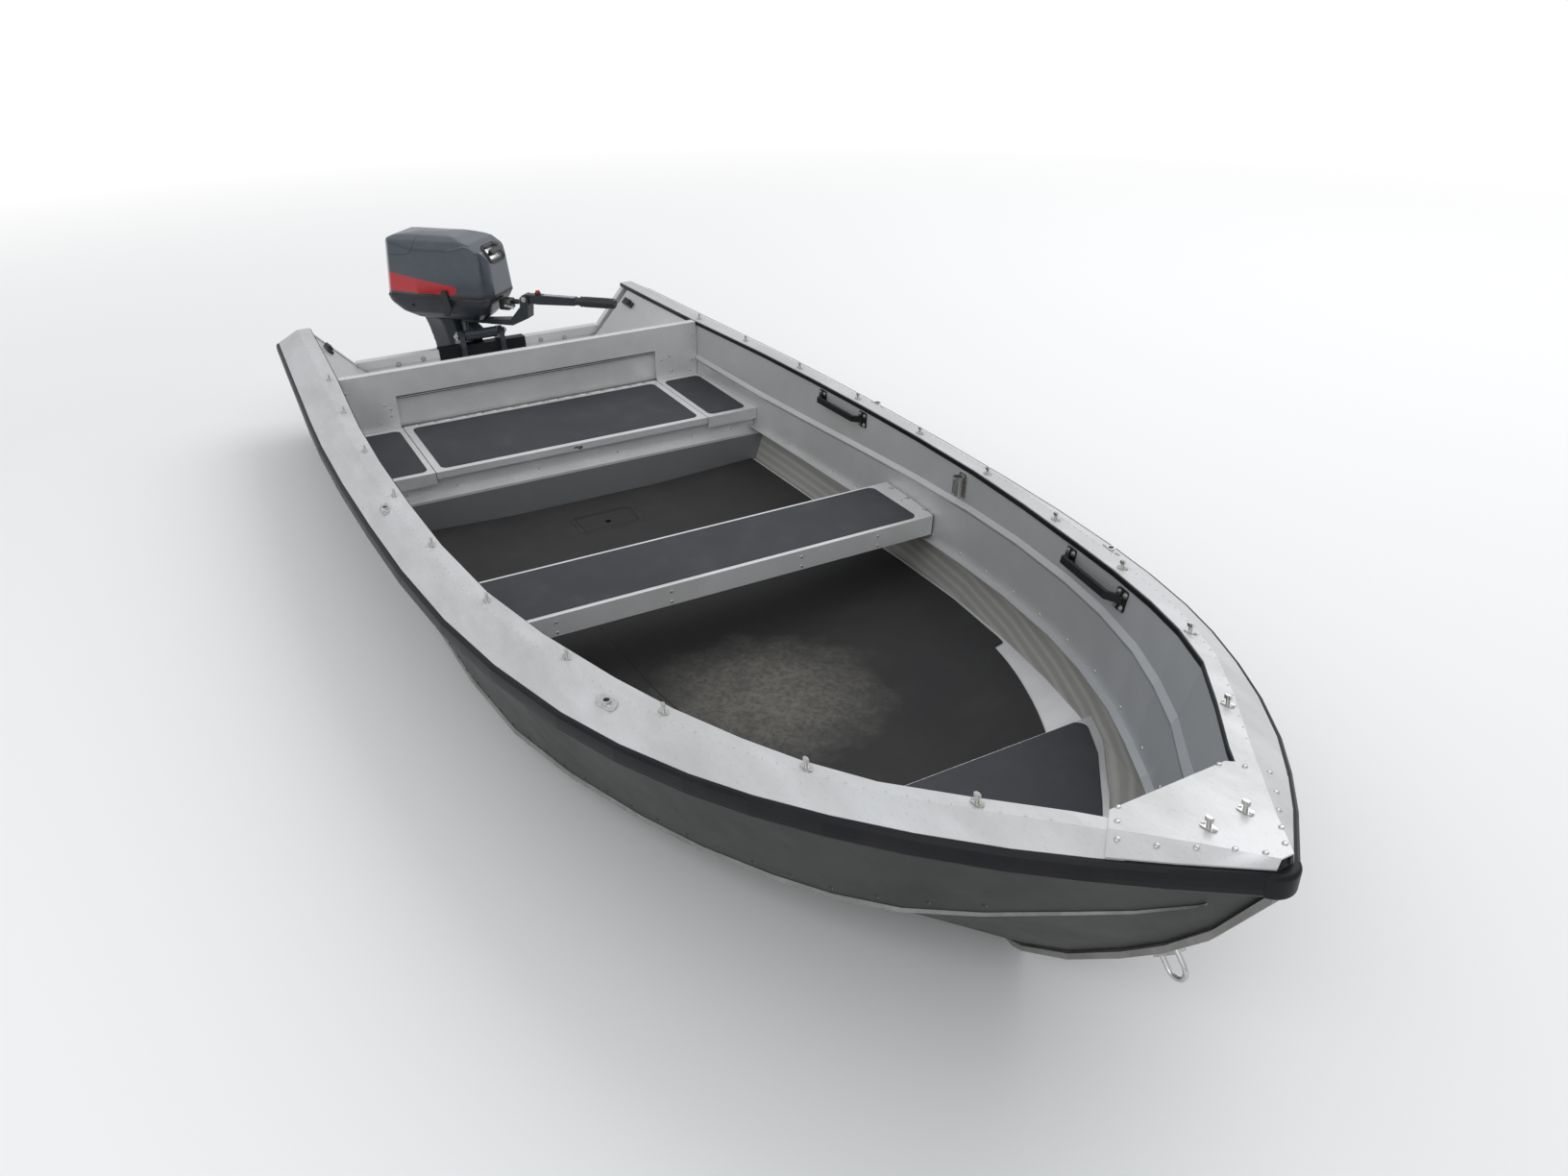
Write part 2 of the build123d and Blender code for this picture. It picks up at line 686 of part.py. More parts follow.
def bench_lid():
    """The hinged lid over the locker, with a flange along its front and a lock hole."""
    back = BULKHEAD_X + 1.0
    with BuildPart() as body:
        with BuildSketch(Plane.XY.offset(BENCH_Z - LID_SHEET)):
            with Locations(((back + 6.0 + BENCH_FRONT) / 2, 0)):
                Rectangle(BENCH_FRONT - back - 6.0, 2 * LID_HALF)
        extrude(amount=LID_SHEET)
        with BuildSketch(Plane.YZ.offset(BENCH_FRONT - LID_SHEET)):
            with Locations((0, BENCH_Z - LID_FLANGE / 2)):
                Rectangle(2 * LID_HALF, LID_FLANGE)
            with Locations((-10.0, BENCH_Z - 0.55 * LID_FLANGE)):
                SlotOverall(22.0, 9.0, mode=Mode.SUBTRACT)
        extrude(amount=LID_SHEET)
    return body.part


def pad(x_low, x_high, y_low, y_high, z, corner=PAD_CORNER):
    """A thin anti-slip pad with rounded corners."""
    with BuildPart() as body:
        with BuildSketch(Plane.XY.offset(z + FIT / 3)):
            with Locations(((x_low + x_high) / 2, (y_low + y_high) / 2)):
                RectangleRounded(x_high - x_low, y_high - y_low, corner)
        extrude(amount=PAD)
    return body.part


# Floor

def floor_points(s, lift):
    """The floor's upper line: flat in the middle, rising at the sides to the plating."""
    y, z = chine_inner(s)
    edge_y = y - FLOOR_EDGE
    slope = (z - keel_inner(s)[1]) / y
    seat = keel_inner(s)[1] + slope * edge_y + FIT * hypot(1.0, slope)
    edge_z = max(seat + FLOOR_SHEET, FLOOR_Z + 2.0) + lift
    flat = min(FLOOR_FLAT_HALF, 0.75 * edge_y)
    low = max(FLOOR_Z, keel_inner(s)[1] + slope * flat + 6.0) + lift
    return [(edge_y, edge_z), (flat, low)]


def floor_band(first, last, lift, sheet, trim):
    def outline(s):
        edge, flat = floor_points(s, lift)
        share = trim / (edge[0] - flat[0])
        port = [(edge[0] - trim, edge[1] - share * (edge[1] - flat[1])), flat]
        lower = [(y, z - sheet) for y, z in port]
        return (
            port + [(-y, z) for y, z in reversed(port)]
            + [(-y, z) for y, z in lower] + [(y, z) for y, z in reversed(lower)]
        )

    return ruled(between(first, last), outline)


def floor_plate():
    """The aluminium floor from the riser to the wall under the bow seat."""
    first = RISER_TOP_X + LEDGE_OUT + 8.0
    with BuildPart() as body:
        add(floor_band(first, BOW_SEAT_AFT - 2.0, 0.0, FLOOR_SHEET, 0.0))
        with BuildSketch(Plane.XY.offset(FLOOR_Z - 20.0)):
            with Locations((HATCH_X + HATCH_WIDE / 2, 0)):
                Rectangle(HATCH_WIDE - 24.0, HATCH_LONG - 24.0)
        extrude(amount=60.0, mode=Mode.SUBTRACT)
    return body.part


def floor_mat():
    """The dark floor covering, rounded at its front corners, with a seam and a hatch opening."""
    first = RISER_TOP_X + LEDGE_OUT + 10.0
    with BuildPart() as body:
        add(floor_band(first, BOW_SEAT_AFT - 2.0, MAT_SHEET + FIT, MAT_SHEET, 12.0))
        for side in (1, -1):
            turn, middle, front = [(x, side * y) for x, y in MAT_NOSE]
            corner = (front[0], side * HALF_BEAM)
            with BuildSketch(Plane.XY.offset(-50.0)):
                with BuildLine():
                    ThreePointArc(turn, middle, front)
                    Polyline(front, corner, (turn[0], corner[1]), turn)
                make_face()
            extrude(amount=300.0, mode=Mode.SUBTRACT)
        with BuildSketch(Plane.XY.offset(FLOOR_Z - 20.0)):
            with Locations((HATCH_X + HATCH_WIDE / 2, 0)):
                Rectangle(HATCH_WIDE + 3.0, HATCH_LONG + 3.0)
        extrude(amount=60.0, mode=Mode.SUBTRACT)
    return body.part


def floor_hatch():
    """The small hatch plate with its finger hole."""
    with BuildPart() as body:
        with BuildSketch(Plane.XY.offset(FLOOR_Z + FIT)):
            with Locations((HATCH_X + HATCH_WIDE / 2, 0)):
                RectangleRounded(HATCH_WIDE - 2.0, HATCH_LONG, 6.0)
            with Locations((HATCH_X + 0.62 * HATCH_WIDE, 0)):
                Circle(11.0, mode=Mode.SUBTRACT)
        extrude(amount=MAT_SHEET)
    return body.part


# Seats

def mid_thwart():
    """The seat across the boat: a channel with deep front and rear flanges."""
    with BuildPart() as body:
        with BuildSketch(Plane.XZ):
            with Locations(((THWART_AFT + THWART_FRONT) / 2, THWART_Z - THWART_DEEP / 2)):
                Rectangle(THWART_FRONT - THWART_AFT, THWART_DEEP)
            with Locations(((THWART_AFT + THWART_FRONT) / 2, THWART_Z - THWART_DEEP / 2 - THWART_SHEET)):
                Rectangle(THWART_FRONT - THWART_AFT - 2 * THWART_SHEET, THWART_DEEP, mode=Mode.SUBTRACT)
        extrude(amount=HALF_BEAM, both=True)
        slot_x = (THWART_AFT + THWART_FRONT) / 2 + 20.0
        slot_y = panel_y(section(slot_x), THWART_Z) - SEAT_GAP - SLOT_IN
        for side in (1, -1):
            with BuildSketch(Plane.XY.offset(THWART_Z - THWART_SHEET - 5.0)):
                with Locations((slot_x, side * slot_y)):
                    SlotOverall(46.0, 18.0)
            extrude(amount=THWART_SHEET + 10.0, mode=Mode.SUBTRACT)
        add(cabin(THWART_AFT - 20.0, THWART_FRONT + 20.0, SEAT_GAP), mode=Mode.INTERSECT)
    return body.part


def thwart_brackets():
    """Angle brackets that carry the thwart on the side panels."""
    reach = 60.0
    with BuildPart() as body:
        with BuildSketch(Plane.XZ):
            with Locations(((THWART_AFT + THWART_FRONT) / 2, THWART_Z - THWART_SHEET - 2.0 - FIT)):
                Rectangle(THWART_FRONT - THWART_AFT - 40.0, 4.0)
        extrude(amount=HALF_BEAM, both=True)
        with BuildSketch(Plane.XZ):
            with Locations(((THWART_AFT + THWART_FRONT) / 2, THWART_Z - 20.0)):
                Rectangle(THWART_FRONT, THWART_DEEP)
        extrude(amount=section(THWART_FRONT)["foot_y"] - reach, both=True, mode=Mode.SUBTRACT)
        add(cabin(THWART_AFT - 20.0, THWART_FRONT + 20.0, FIT), mode=Mode.INTERSECT)
    return body.part


def bow_seat():
    """The triangular seat in the bow, on a wall that closes the locker under it."""
    aft = BOW_SEAT_AFT
    with BuildPart() as body:
        with BuildSketch(Plane.XZ):
            with BuildLine():
                Polyline(
                    (aft, BOW_SEAT_Z), (BOW_SEAT_END, BOW_SEAT_Z),
                    (BOW_SEAT_END, BOW_SEAT_Z - BOW_WALL),
                    (aft + BOW_WALL + 4.0, BOW_SEAT_Z - BOW_WALL), (aft + BOW_WALL + 4.0, -120.0),
                    (aft + 4.0, -120.0), (aft + 4.0, BOW_SEAT_Z - BOW_SEAT_DEEP),
                    (aft, BOW_SEAT_Z - BOW_SEAT_DEEP), close=True,
                )
            make_face()
        extrude(amount=HALF_BEAM, both=True)
        add(cabin(aft - 10.0, BOW_SEAT_END + 10.0, 1.0), mode=Mode.INTERSECT)
    return body.part


def bow_seat_pad():
    """The pad on the bow seat, narrowing with the hull."""
    margin = 22.0
    aft, fore = BOW_SEAT_AFT + 3.0, BOW_SEAT_END - 100.0
    z = BOW_SEAT_Z

    def reach(x):
        s = section(x)
        if z > s["chine_z"]:
            return along(chine_inner(s), skin_inner_top(s), z) - margin
        return along(keel_inner(s), chine_inner(s), z) - margin

    corners = [(x, reach(x)) for x in (aft, aft + 0.33 * (fore - aft), aft + 0.72 * (fore - aft), fore)]
    outline = corners + [(x, -y) for x, y in reversed(corners)]
    with BuildPart() as body:
        with BuildSketch(Plane.XY.offset(z + FIT / 3)) as face:
            with BuildLine():
                Polyline(*outline, close=True)
            make_face()
            fillet(face.vertices().group_by(Axis.X)[0], PAD_CORNER)
        extrude(amount=PAD)
    return body.part


def bow_plate():
    """The folded plate that ties the gunwales together at the bow."""
    sheet = BOW_PLATE_SHEET
    start = section(BOW_PLATE_AFT)

    def outline(s):
        y, rim, z, crease = s["sheer_y"], s["rim_z"] + FIT, s["sheer_z"] + FIT, s["crease_y"]
        port = [(crease, z + sheet), (y, rim + sheet), (y, rim), (crease, z)]
        starboard = [(-a, b) for a, b in port]
        return port[:2][::-1] + starboard + port[2:][::-1]

    run = 400.0
    slant = (SEAM_OUT - BOW_PLATE_HALF) / (SEAM_X - BOW_PLATE_AFT)
    with BuildPart() as body:
        add(ruled(between(BOW_PLATE_AFT, BOW_END), outline))
        with BuildSketch(Plane.XY.offset(start["sheer_z"] - HALF_BEAM / 2)):
            for side in (1, -1):
                with BuildLine():
                    Polyline(
                        (BOW_PLATE_AFT - 1.0, side * BOW_PLATE_HALF), (BOW_PLATE_AFT, side * BOW_PLATE_HALF),
                        (BOW_PLATE_AFT + run, side * (BOW_PLATE_HALF + run * slant)),
                        (BOW_PLATE_AFT - 1.0, side * (BOW_PLATE_HALF + run * slant)), close=True,
                    )
                make_face()
        extrude(amount=HALF_BEAM, mode=Mode.SUBTRACT)
        with BuildSketch(Plane.YZ.offset(BOW_PLATE_AFT)):
            with Locations((0, start["sheer_z"] - 10.0)):
                Rectangle(2 * BOW_PLATE_HALF - 8.0, 22.0)
        extrude(amount=sheet)
    return body.part


# Fittings on the gunwale and the panels

def deck(x, share):
    """A plane on the port gunwale's flat part at x, at a share of its width from the inner edge."""
    s = section(x)
    rise = section(x + 15.0)["sheer_z"] - section(x - 15.0)["sheer_z"]
    length = hypot(30.0, rise)
    y = s["inner_y"] + share * (s["crease_y"] - s["inner_y"])
    return Plane(
        origin=(x, y, s["sheer_z"]), x_dir=(30.0 / length, 0, rise / length),
        z_dir=(-rise / length, 0, 30.0 / length),
    ).offset(FIT)


def rim_plane(x, share):
    """A plane on the port gunwale's sloping part, at a share of its width from the crease."""
    s, aft, fore = section(x), section(x - 15.0), section(x + 15.0)
    across = Vector(0, s["sheer_y"] - s["crease_y"], s["rim_z"] - s["sheer_z"])
    run = Vector(30.0, fore["crease_y"] - aft["crease_y"], fore["sheer_z"] - aft["sheer_z"])
    up = run.cross(across).normalized()
    return Plane(
        origin=Vector(x, s["crease_y"], s["sheer_z"]) + across * share + up * FIT,
        x_dir=run.normalized(), z_dir=up,
    )


def upright(x):
    """A level plane where a socket's axis meets the gunwale's slope."""
    return Plane(origin=rim_plane(x, SOCKET_SHARE).origin, x_dir=(1, 0, 0), z_dir=(0, 0, 1))


def turn_buttons():
    """Cover studs along the port gunwale and on the bow plate: an oval foot, a post and a flat head."""
    spots = [deck(x, 0.5) for x in STUD_SPOTS]
    spots.append(deck(*PLATE_STUD).offset(BOW_PLATE_SHEET + FIT))
    foot_long, foot_wide, foot = STUD_FOOT
    head_long, head_wide, head = STUD_HEAD
    with BuildPart() as body:
        for spot in spots:
            with BuildSketch(spot):
                SlotOverall(foot_long, foot_wide)
            extrude(amount=foot)
            with BuildSketch(spot):
                Circle(STUD_RADIUS)
            extrude(amount=STUD_HIGH)
            with BuildSketch(spot.offset(STUD_HIGH - head)):
                Rectangle(head_long, head_wide)
            extrude(amount=head)
    return body.part


def rowlock_sockets():
    """Rowlock sockets in the port gunwale: a plate on the slope and an upright tube through it."""
    long, wide, thick = SOCKET_PLATE
    with BuildPart() as body:
        for x in SOCKET_SPOTS:
            with BuildSketch(rim_plane(x, SOCKET_SHARE)):
                SlotOverall(long, wide)
            extrude(amount=thick)
            low = upright(x).offset(SOCKET_RISE - SOCKET_DEEP)
            with BuildSketch(low):
                Circle(SOCKET_BORE + SOCKET_WALL)
            extrude(amount=SOCKET_DEEP)
            with BuildSketch(low.offset(-SOCKET_DEEP)):
                Circle(SOCKET_BORE)
            extrude(amount=3 * SOCKET_DEEP, mode=Mode.SUBTRACT)
    return body.part


def panel_plane(x, drop, reach):
    """A plane that rests on the port panel's face over a reach to both sides of x."""
    fore, aft = section(x + reach), section(x - reach)
    z = section(x)["sheer_z"] - drop
    lift = (fore["sheer_z"] - aft["sheer_z"]) / 2
    fore_y, aft_y = panel_y(fore, z + lift), panel_y(aft, z - lift)
    run = Vector(2 * reach, fore_y - aft_y, 2 * lift)
    middle = (fore_y + aft_y) / 2
    rise = Vector(0.0, panel_y(fore, z + 10.0) - panel_y(fore, z - 10.0), 20.0)
    inward = run.cross(rise)
    if inward.Y > 0:
        inward = inward * -1.0
    return Plane(origin=(x, middle, z), x_dir=run.normalized(), z_dir=inward.normalized())


def grab_handles():
    """Grab handles on the port panel: two feet and a bowed grip."""
    foot_long, foot_high, foot_thick = HANDLE_FOOT
    panel = side_panel()
    handles = []
    for x in HANDLE_SPOTS:
        half = HANDLE_SPAN / 2
        base = panel_plane(x, HANDLE_DROP, half + foot_long / 2)
        grip = Plane(origin=base.origin, x_dir=base.x_dir, z_dir=base.y_dir * -1.0)
        with BuildPart() as body:
            with BuildSketch(base):
                with Locations((half, 0), (-half, 0)):
                    RectangleRounded(foot_long, foot_high, 6.0)
            extrude(amount=foot_thick)
            with BuildSketch(grip):
                with BuildLine():
                    Polyline(
                        (-half - 8.0, foot_thick), (-half + 18.0, HANDLE_OUT),
                        (half - 18.0, HANDLE_OUT), (half + 8.0, foot_thick),
                        (half - 10.0, foot_thick), (half - 26.0, HANDLE_OUT - 12.0),
                        (-half + 26.0, HANDLE_OUT - 12.0), (-half + 10.0, foot_thick), close=True,
                    )
                make_face()
            extrude(amount=HANDLE_BAR / 2, both=True)
            add(panel, mode=Mode.SUBTRACT)
        handles.append(body.part)
    return Compound(children=handles)


def tube_holder():
    """A small upright tube on a plate at the port panel."""
    base = panel_plane(TUBE_SPOT, TUBE_DROP + TUBE_LONG / 2, 20.0)
    plate = 2.5
    outer = TUBE_BORE + TUBE_WALL
    upright = Plane(
        origin=base.origin + base.z_dir * (plate + outer) - base.y_dir * (TUBE_LONG / 2),
        x_dir=base.x_dir, z_dir=base.y_dir,
    )
    with BuildPart() as body:
        with BuildSketch(base):
            RectangleRounded(40.0, TUBE_LONG + 16.0, 5.0)
        extrude(amount=plate)
        with BuildSketch(upright):
            Circle(outer)
            with Locations((0, outer / 2)):
                Rectangle(outer, outer)
        extrude(amount=TUBE_LONG)
        with BuildSketch(upright):
            Circle(TUBE_BORE)
        extrude(amount=TUBE_LONG, mode=Mode.SUBTRACT)
        add(side_panel(), mode=Mode.SUBTRACT)
    return body.part


def bow_eye():
    """The U-shaped eye on the stem."""
    span = [s for s in zip(STATIONS, STATIONS[1:]) if s[0]["keel_z"] <= EYE_Z <= s[1]["keel_z"]][0]
    aft, fore = span
    share = (EYE_Z - aft["keel_z"]) / (fore["keel_z"] - aft["keel_z"])
    x = aft["x"] + share * (fore["x"] - aft["x"])
    along_stem = Vector(fore["x"] - aft["x"], 0, fore["keel_z"] - aft["keel_z"]).normalized()
    outward = Vector(along_stem.Z, 0, -along_stem.X)
    side = Plane(origin=(x, 0, EYE_Z), x_dir=along_stem, z_dir=(0, 1, 0))
    if side.y_dir.dot(outward) < 0:
        side = Plane(origin=(x, 0, EYE_Z), x_dir=along_stem, z_dir=(0, -1, 0))
    root = STEM_OUT + 1.0
    half = EYE_SPAN / 2
    with BuildPart() as body:
        with BuildLine(side) as path:
            low = Line((-half, root), (-half, EYE_OUT - half))
            bow = ThreePointArc((-half, EYE_OUT - half), (0, EYE_OUT), (half, EYE_OUT - half))
            high = Line((half, EYE_OUT - half), (half, root))
        with BuildSketch(Plane(origin=low @ 0, z_dir=low % 0)):
            Circle(EYE_ROD)
        sweep(path=path.line)
        with BuildSketch(
            Plane(origin=side.origin + outward * (root + 4.0), x_dir=along_stem, z_dir=outward)
        ):
            RectangleRounded(EYE_SPAN + 26.0, 2 * STEM_HALF, 5.0)
        extrude(amount=-10.0)
        add(stem_and_keel(), mode=Mode.SUBTRACT)
    return body.part


def quarter_cleats():
    """Small strap cleats on the sloping quarters."""
    x = CLEAT_X
    long, wide, high = CLEAT
    s = section(x)
    edge = (s["inner_y"] - EDGING - 1.0, s["sheer_z"] - GUNWALE_LIP - 3.0)
    knee = (TRANSOM_HALF, TRANSOM_TOP - 6.0)
    y, z = [low + CLEAT_SHARE * (top - low) for low, top in zip(knee, edge)]
    slope = Vector(0, edge[0] - knee[0], edge[1] - knee[1]).normalized()
    up = Vector(0, -slope.Z, slope.Y)
    with BuildPart() as body:
        with BuildSketch(Plane(origin=Vector(x, y, z) + up * 1.0, x_dir=(1, 0, 0), z_dir=up)):
            RectangleRounded(long, wide, 5.0)
        extrude(amount=high)
    return body.part


# Outboard motor

STEER_X = TRANSOM_X - STEER_BACK
ahead = Vector(cos(radians(STEERED)), sin(radians(STEERED)), 0)
MOTOR = Plane(origin=(STEER_X, 0, TRANSOM_TOP), x_dir=ahead, z_dir=(0, 0, 1))
MOTOR_SIDE = Plane(origin=MOTOR.origin, x_dir=ahead, z_dir=MOTOR.y_dir * -1.0)
STARTER_DEEP = 16.0
COWL_CORNER = 24.0
STARTER = Plane(
    origin=MOTOR.origin + ahead * (COWL_FRONT - 20.0) + Vector(0, 0, COWL_TOP - 76.0),
    x_dir=MOTOR.y_dir, z_dir=(ahead * 80.0 + Vector(0, 0, 70.0)).normalized(),
)
CLAMP_SIDE = Plane(origin=(TRANSOM_X, 0, TRANSOM_TOP), x_dir=(1, 0, 0), z_dir=(0, -1, 0))


def clamp_bracket():
    """The clamp: two hooked arms over the transom, a tilt tube and a thrust rod."""
    lean = tan(radians(RAKE))
    thick = TRANSOM_THICK / cos(radians(RAKE))
    aft_gap = PAD_PLATE + 2 * FIT

    def face(height, out):
        return out - height * lean, height

    hook = [
        (-42, 26), (-42, -60), face(BRACKET_FOOT, -40), face(BRACKET_FOOT, -aft_gap),
        face(aft_gap, -aft_gap), face(aft_gap, thick + aft_gap), face(-95, thick + aft_gap),
        face(-92, thick + aft_gap + 17), (thick + 31, 6), (thick + 18, 47), (24, 65), (-8, 60),
    ]
    with BuildPart() as body:
        for side in (1, -1):
            with BuildSketch(CLAMP_SIDE.offset(-side * (ARM_INNER + ARM_THICK / 2))):
                with BuildLine():
                    Polyline(*hook, close=True)
                make_face()
            extrude(amount=ARM_THICK / 2, both=True)
        with BuildSketch(CLAMP_SIDE):
            with Locations((TILT_AHEAD, TILT_H)):
                Circle(TILT_TUBE)
            with Locations((BRACKET_FOOT * -lean - 34 - 10, BRACKET_FOOT + 40)):
                Circle(7.0)
        extrude(amount=ARM_INNER + ARM_THICK + 6.0, both=True)
        for side in (1, -1):
            with BuildSketch(Plane(origin=(TRANSOM_X, side * (ARM_INNER + ARM_THICK / 2),
                                           TRANSOM_TOP + CLAMP_SCREW_H), z_dir=(1, 0, 0))):
                Circle(CLAMP_SCREW + FIT)
            extrude(amount=200.0, mode=Mode.SUBTRACT)
    return body.part


def clamp_screws():
    """The two screws with their cross handles and pressure pads."""
    lean = tan(radians(RAKE))
    thick = TRANSOM_THICK / cos(radians(RAKE))
    x = TRANSOM_X + thick - CLAMP_SCREW_H * lean + PAD_PLATE + 4 * FIT + 2.0
    screws = []
    for side in (1, -1):
        start = Plane(origin=(x, side * (ARM_INNER + ARM_THICK / 2), TRANSOM_TOP + CLAMP_SCREW_H),
                      z_dir=(1, 0, 0))
        with BuildPart() as body:
            with BuildSketch(start):
                Circle(CLAMP_SCREW)
            extrude(amount=66.0)
            with BuildSketch(Plane(origin=start.origin + Vector(60, 0, 0), z_dir=(0, 0, 1))):
                Rectangle(13.0, 70.0)
            extrude(amount=5.0, both=True)
        screws.append(body.part)
    return Compound(children=screws)


def swivel_bracket():
    """The swivel bracket: a barrel on the tilt tube, a web and the steering tube."""
    back = -STEER_BACK
    web = [
        (TILT_AHEAD - 10, 62), (back + 5, SWIVEL_TOP), (back - 5, SWIVEL_TOP), (back - 5, SWIVEL_FOOT),
        (back + 30, SWIVEL_FOOT), (back + 46, -60), (-32, 16), (TILT_AHEAD - 10, 28),
    ]
    with BuildPart() as body:
        with BuildSketch(CLAMP_SIDE):
            with BuildLine():
                Polyline(*web, close=True)
            make_face()
        extrude(amount=22.0, both=True)
        with BuildSketch(CLAMP_SIDE):
            with Locations((TILT_AHEAD, TILT_H)):
                Circle(SWIVEL_LUG)
        extrude(amount=SWIVEL_HALF, both=True)
        with BuildSketch(MOTOR.offset(SWIVEL_FOOT)):
            Circle(SWIVEL_TUBE)
        extrude(amount=SWIVEL_TOP - SWIVEL_FOOT)
        with BuildSketch(CLAMP_SIDE):
            with Locations((TILT_AHEAD, TILT_H)):
                Circle(TILT_TUBE + RUNNING)
        extrude(amount=SWIVEL_HALF + 10.0, both=True, mode=Mode.SUBTRACT)
        with BuildSketch(MOTOR.offset(SWIVEL_FOOT - 10.0)):
            Circle(STEER_SHAFT + RUNNING)
        extrude(amount=SWIVEL_TOP - SWIVEL_FOOT + 20.0, mode=Mode.SUBTRACT)
    return body.part


def steering_bracket():
    """The yoke that turns in the swivel tube and carries the tiller."""
    low_h = SWIVEL_FOOT - 4.0
    cheek = 8.0
    inner = TILLER_HALF + 2.0
    with BuildPart() as body:
        with BuildSketch(MOTOR.offset(low_h - 20.0)):
            Circle(STEER_SHAFT)
        extrude(amount=YOKE_HIGH - low_h + 20.0)
        with BuildSketch(MOTOR.offset(YOKE_LOW)):
            with Locations(((LEG_FRONT + FIT + YOKE_REACH) / 2, 0)):
                Rectangle(YOKE_REACH - LEG_FRONT - FIT, 50.0)
        extrude(amount=YOKE_HIGH - YOKE_LOW)
        with BuildSketch(MOTOR.offset(low_h - 20.0)):
            with Locations(((LEG_FRONT + FIT + 18.0) / 2, 0)):
                Rectangle(18.0 - LEG_FRONT - FIT, 36.0)
        extrude(amount=20.0)
        with BuildSketch(MOTOR_SIDE):
            with BuildLine():
                Polyline(
                    (110, YOKE_LOW), (TILLER_X - 66, YOKE_LOW), (TILLER_X + 12, YOKE_LOW + 36),
                    (TILLER_X + TILLER_EYE, TILLER_H - 20), (TILLER_X + TILLER_EYE, TILLER_H + 6),
                    (TILLER_X, TILLER_H + TILLER_EYE), (TILLER_X - TILLER_EYE, TILLER_H + 6),
                    (TILLER_X - 22, TILLER_H - 34), (TILLER_X - 74, YOKE_HIGH + 8),
                    (110, YOKE_HIGH), close=True,
                )
            make_face()
        extrude(amount=inner + cheek, both=True)
        with BuildSketch(MOTOR_SIDE):
            with Locations((TILLER_X + 4.0, TILLER_H + 8.0)):
                Rectangle(2 * TILLER_EYE + 14.0, 2 * TILLER_EYE + 24.0)
        extrude(amount=inner, both=True, mode=Mode.SUBTRACT)
        with BuildSketch(MOTOR_SIDE):
            with Locations((TILLER_X, TILLER_H)):
                Circle(TILLER_PIN)
        extrude(amount=inner + cheek, both=True)
    return body.part


def tiller_arm():
    """The tapered tiller arm with its pivot eye."""
    end = TILLER_X + TILLER_LONG
    with BuildPart() as body:
        with BuildSketch(MOTOR_SIDE):
            with BuildLine():
                Polyline(
                    (TILLER_X, TILLER_H + TILLER_EYE - 1), (TILLER_X + 40, TILLER_H + 19),
                    (end, TILLER_H + 16), (end, TILLER_H - 16), (TILLER_X + 60, TILLER_H - 21),
                    (TILLER_X, TILLER_H - TILLER_EYE + 3), close=True,
                )
            make_face()
            with Locations((TILLER_X, TILLER_H)):
                Circle(TILLER_EYE - 1.0)
                Circle(TILLER_PIN + RUNNING, mode=Mode.SUBTRACT)
        extrude(amount=TILLER_HALF, both=True)
    return body.part


def tiller_grip():
    """The twist grip at the tiller's end, with a narrower neck."""
    start = Plane(
        origin=MOTOR.origin + ahead * (TILLER_X + TILLER_LONG + FIT) + Vector(0, 0, TILLER_H),
        z_dir=ahead,
    )
    with BuildPart() as body:
        with BuildSketch(start):
            Circle(GRIP_RADIUS - 4.0)
        extrude(amount=GRIP_NECK)
        with BuildSketch(start.offset(GRIP_NECK)):
            Circle(GRIP_RADIUS)
        extrude(amount=GRIP_LONG - GRIP_NECK)
        rims = body.edges().filter_by(GeomType.CIRCLE)
        chamfer(rims.sort_by(lambda rim: start.to_local_coords(rim.center()).Z)[-1], 5.0)
    return body.part


def lower_cowl():
    """The pan under the cowling, drawn in to the leg."""
    table = (
        # height, rear, front, half-width, corner
        (PAN_FOOT, -228.0, 92.0, PAN_HALF, 40.0),
        (PAN_FOOT + 34.0, -286.0, 128.0, 0.5 * (PAN_HALF + COWL_HALF), 48.0),
        (COWL_FOOT - 34.0, COWL_REAR + 8.0, COWL_FRONT - 20.0, COWL_HALF - 14.0, 54.0),
        (COWL_FOOT - FIT, COWL_REAR + 2.0, COWL_FRONT - 4.0, COWL_HALF - 4.0, 54.0),
    )
    with BuildPart() as body:
        for height, rear, fore, half, corner in table:
            with BuildSketch(MOTOR.offset(height)):
                with Locations(((rear + fore) / 2, 0)):
                    RectangleRounded(fore - rear, 2 * half, corner)
        loft(ruled=True)
    return body.part


def cowl_plan(height, shrink):
    """The cowling's outline seen from above, at one height: straight runs with rounded corners."""
    port = [
        (COWL_FRONT - shrink, 0.60 * COWL_HALF - shrink),
        (COWL_FRONT - 26.0 - shrink, 0.84 * COWL_HALF - shrink),
        (0.0, COWL_HALF - shrink),
        (-160.0, COWL_HALF - shrink),
        (COWL_REAR + 34.0 + shrink, 0.88 * COWL_HALF - shrink),
        (COWL_REAR + shrink, 0.62 * COWL_HALF - shrink),
    ]
    with BuildSketch(MOTOR.offset(height)) as plan:
        with BuildLine():
            Polyline(*(port + [(x, -y) for x, y in reversed(port)]), close=True)
        make_face()
        fillet(plan.vertices(), COWL_CORNER)
    return plan.sketch


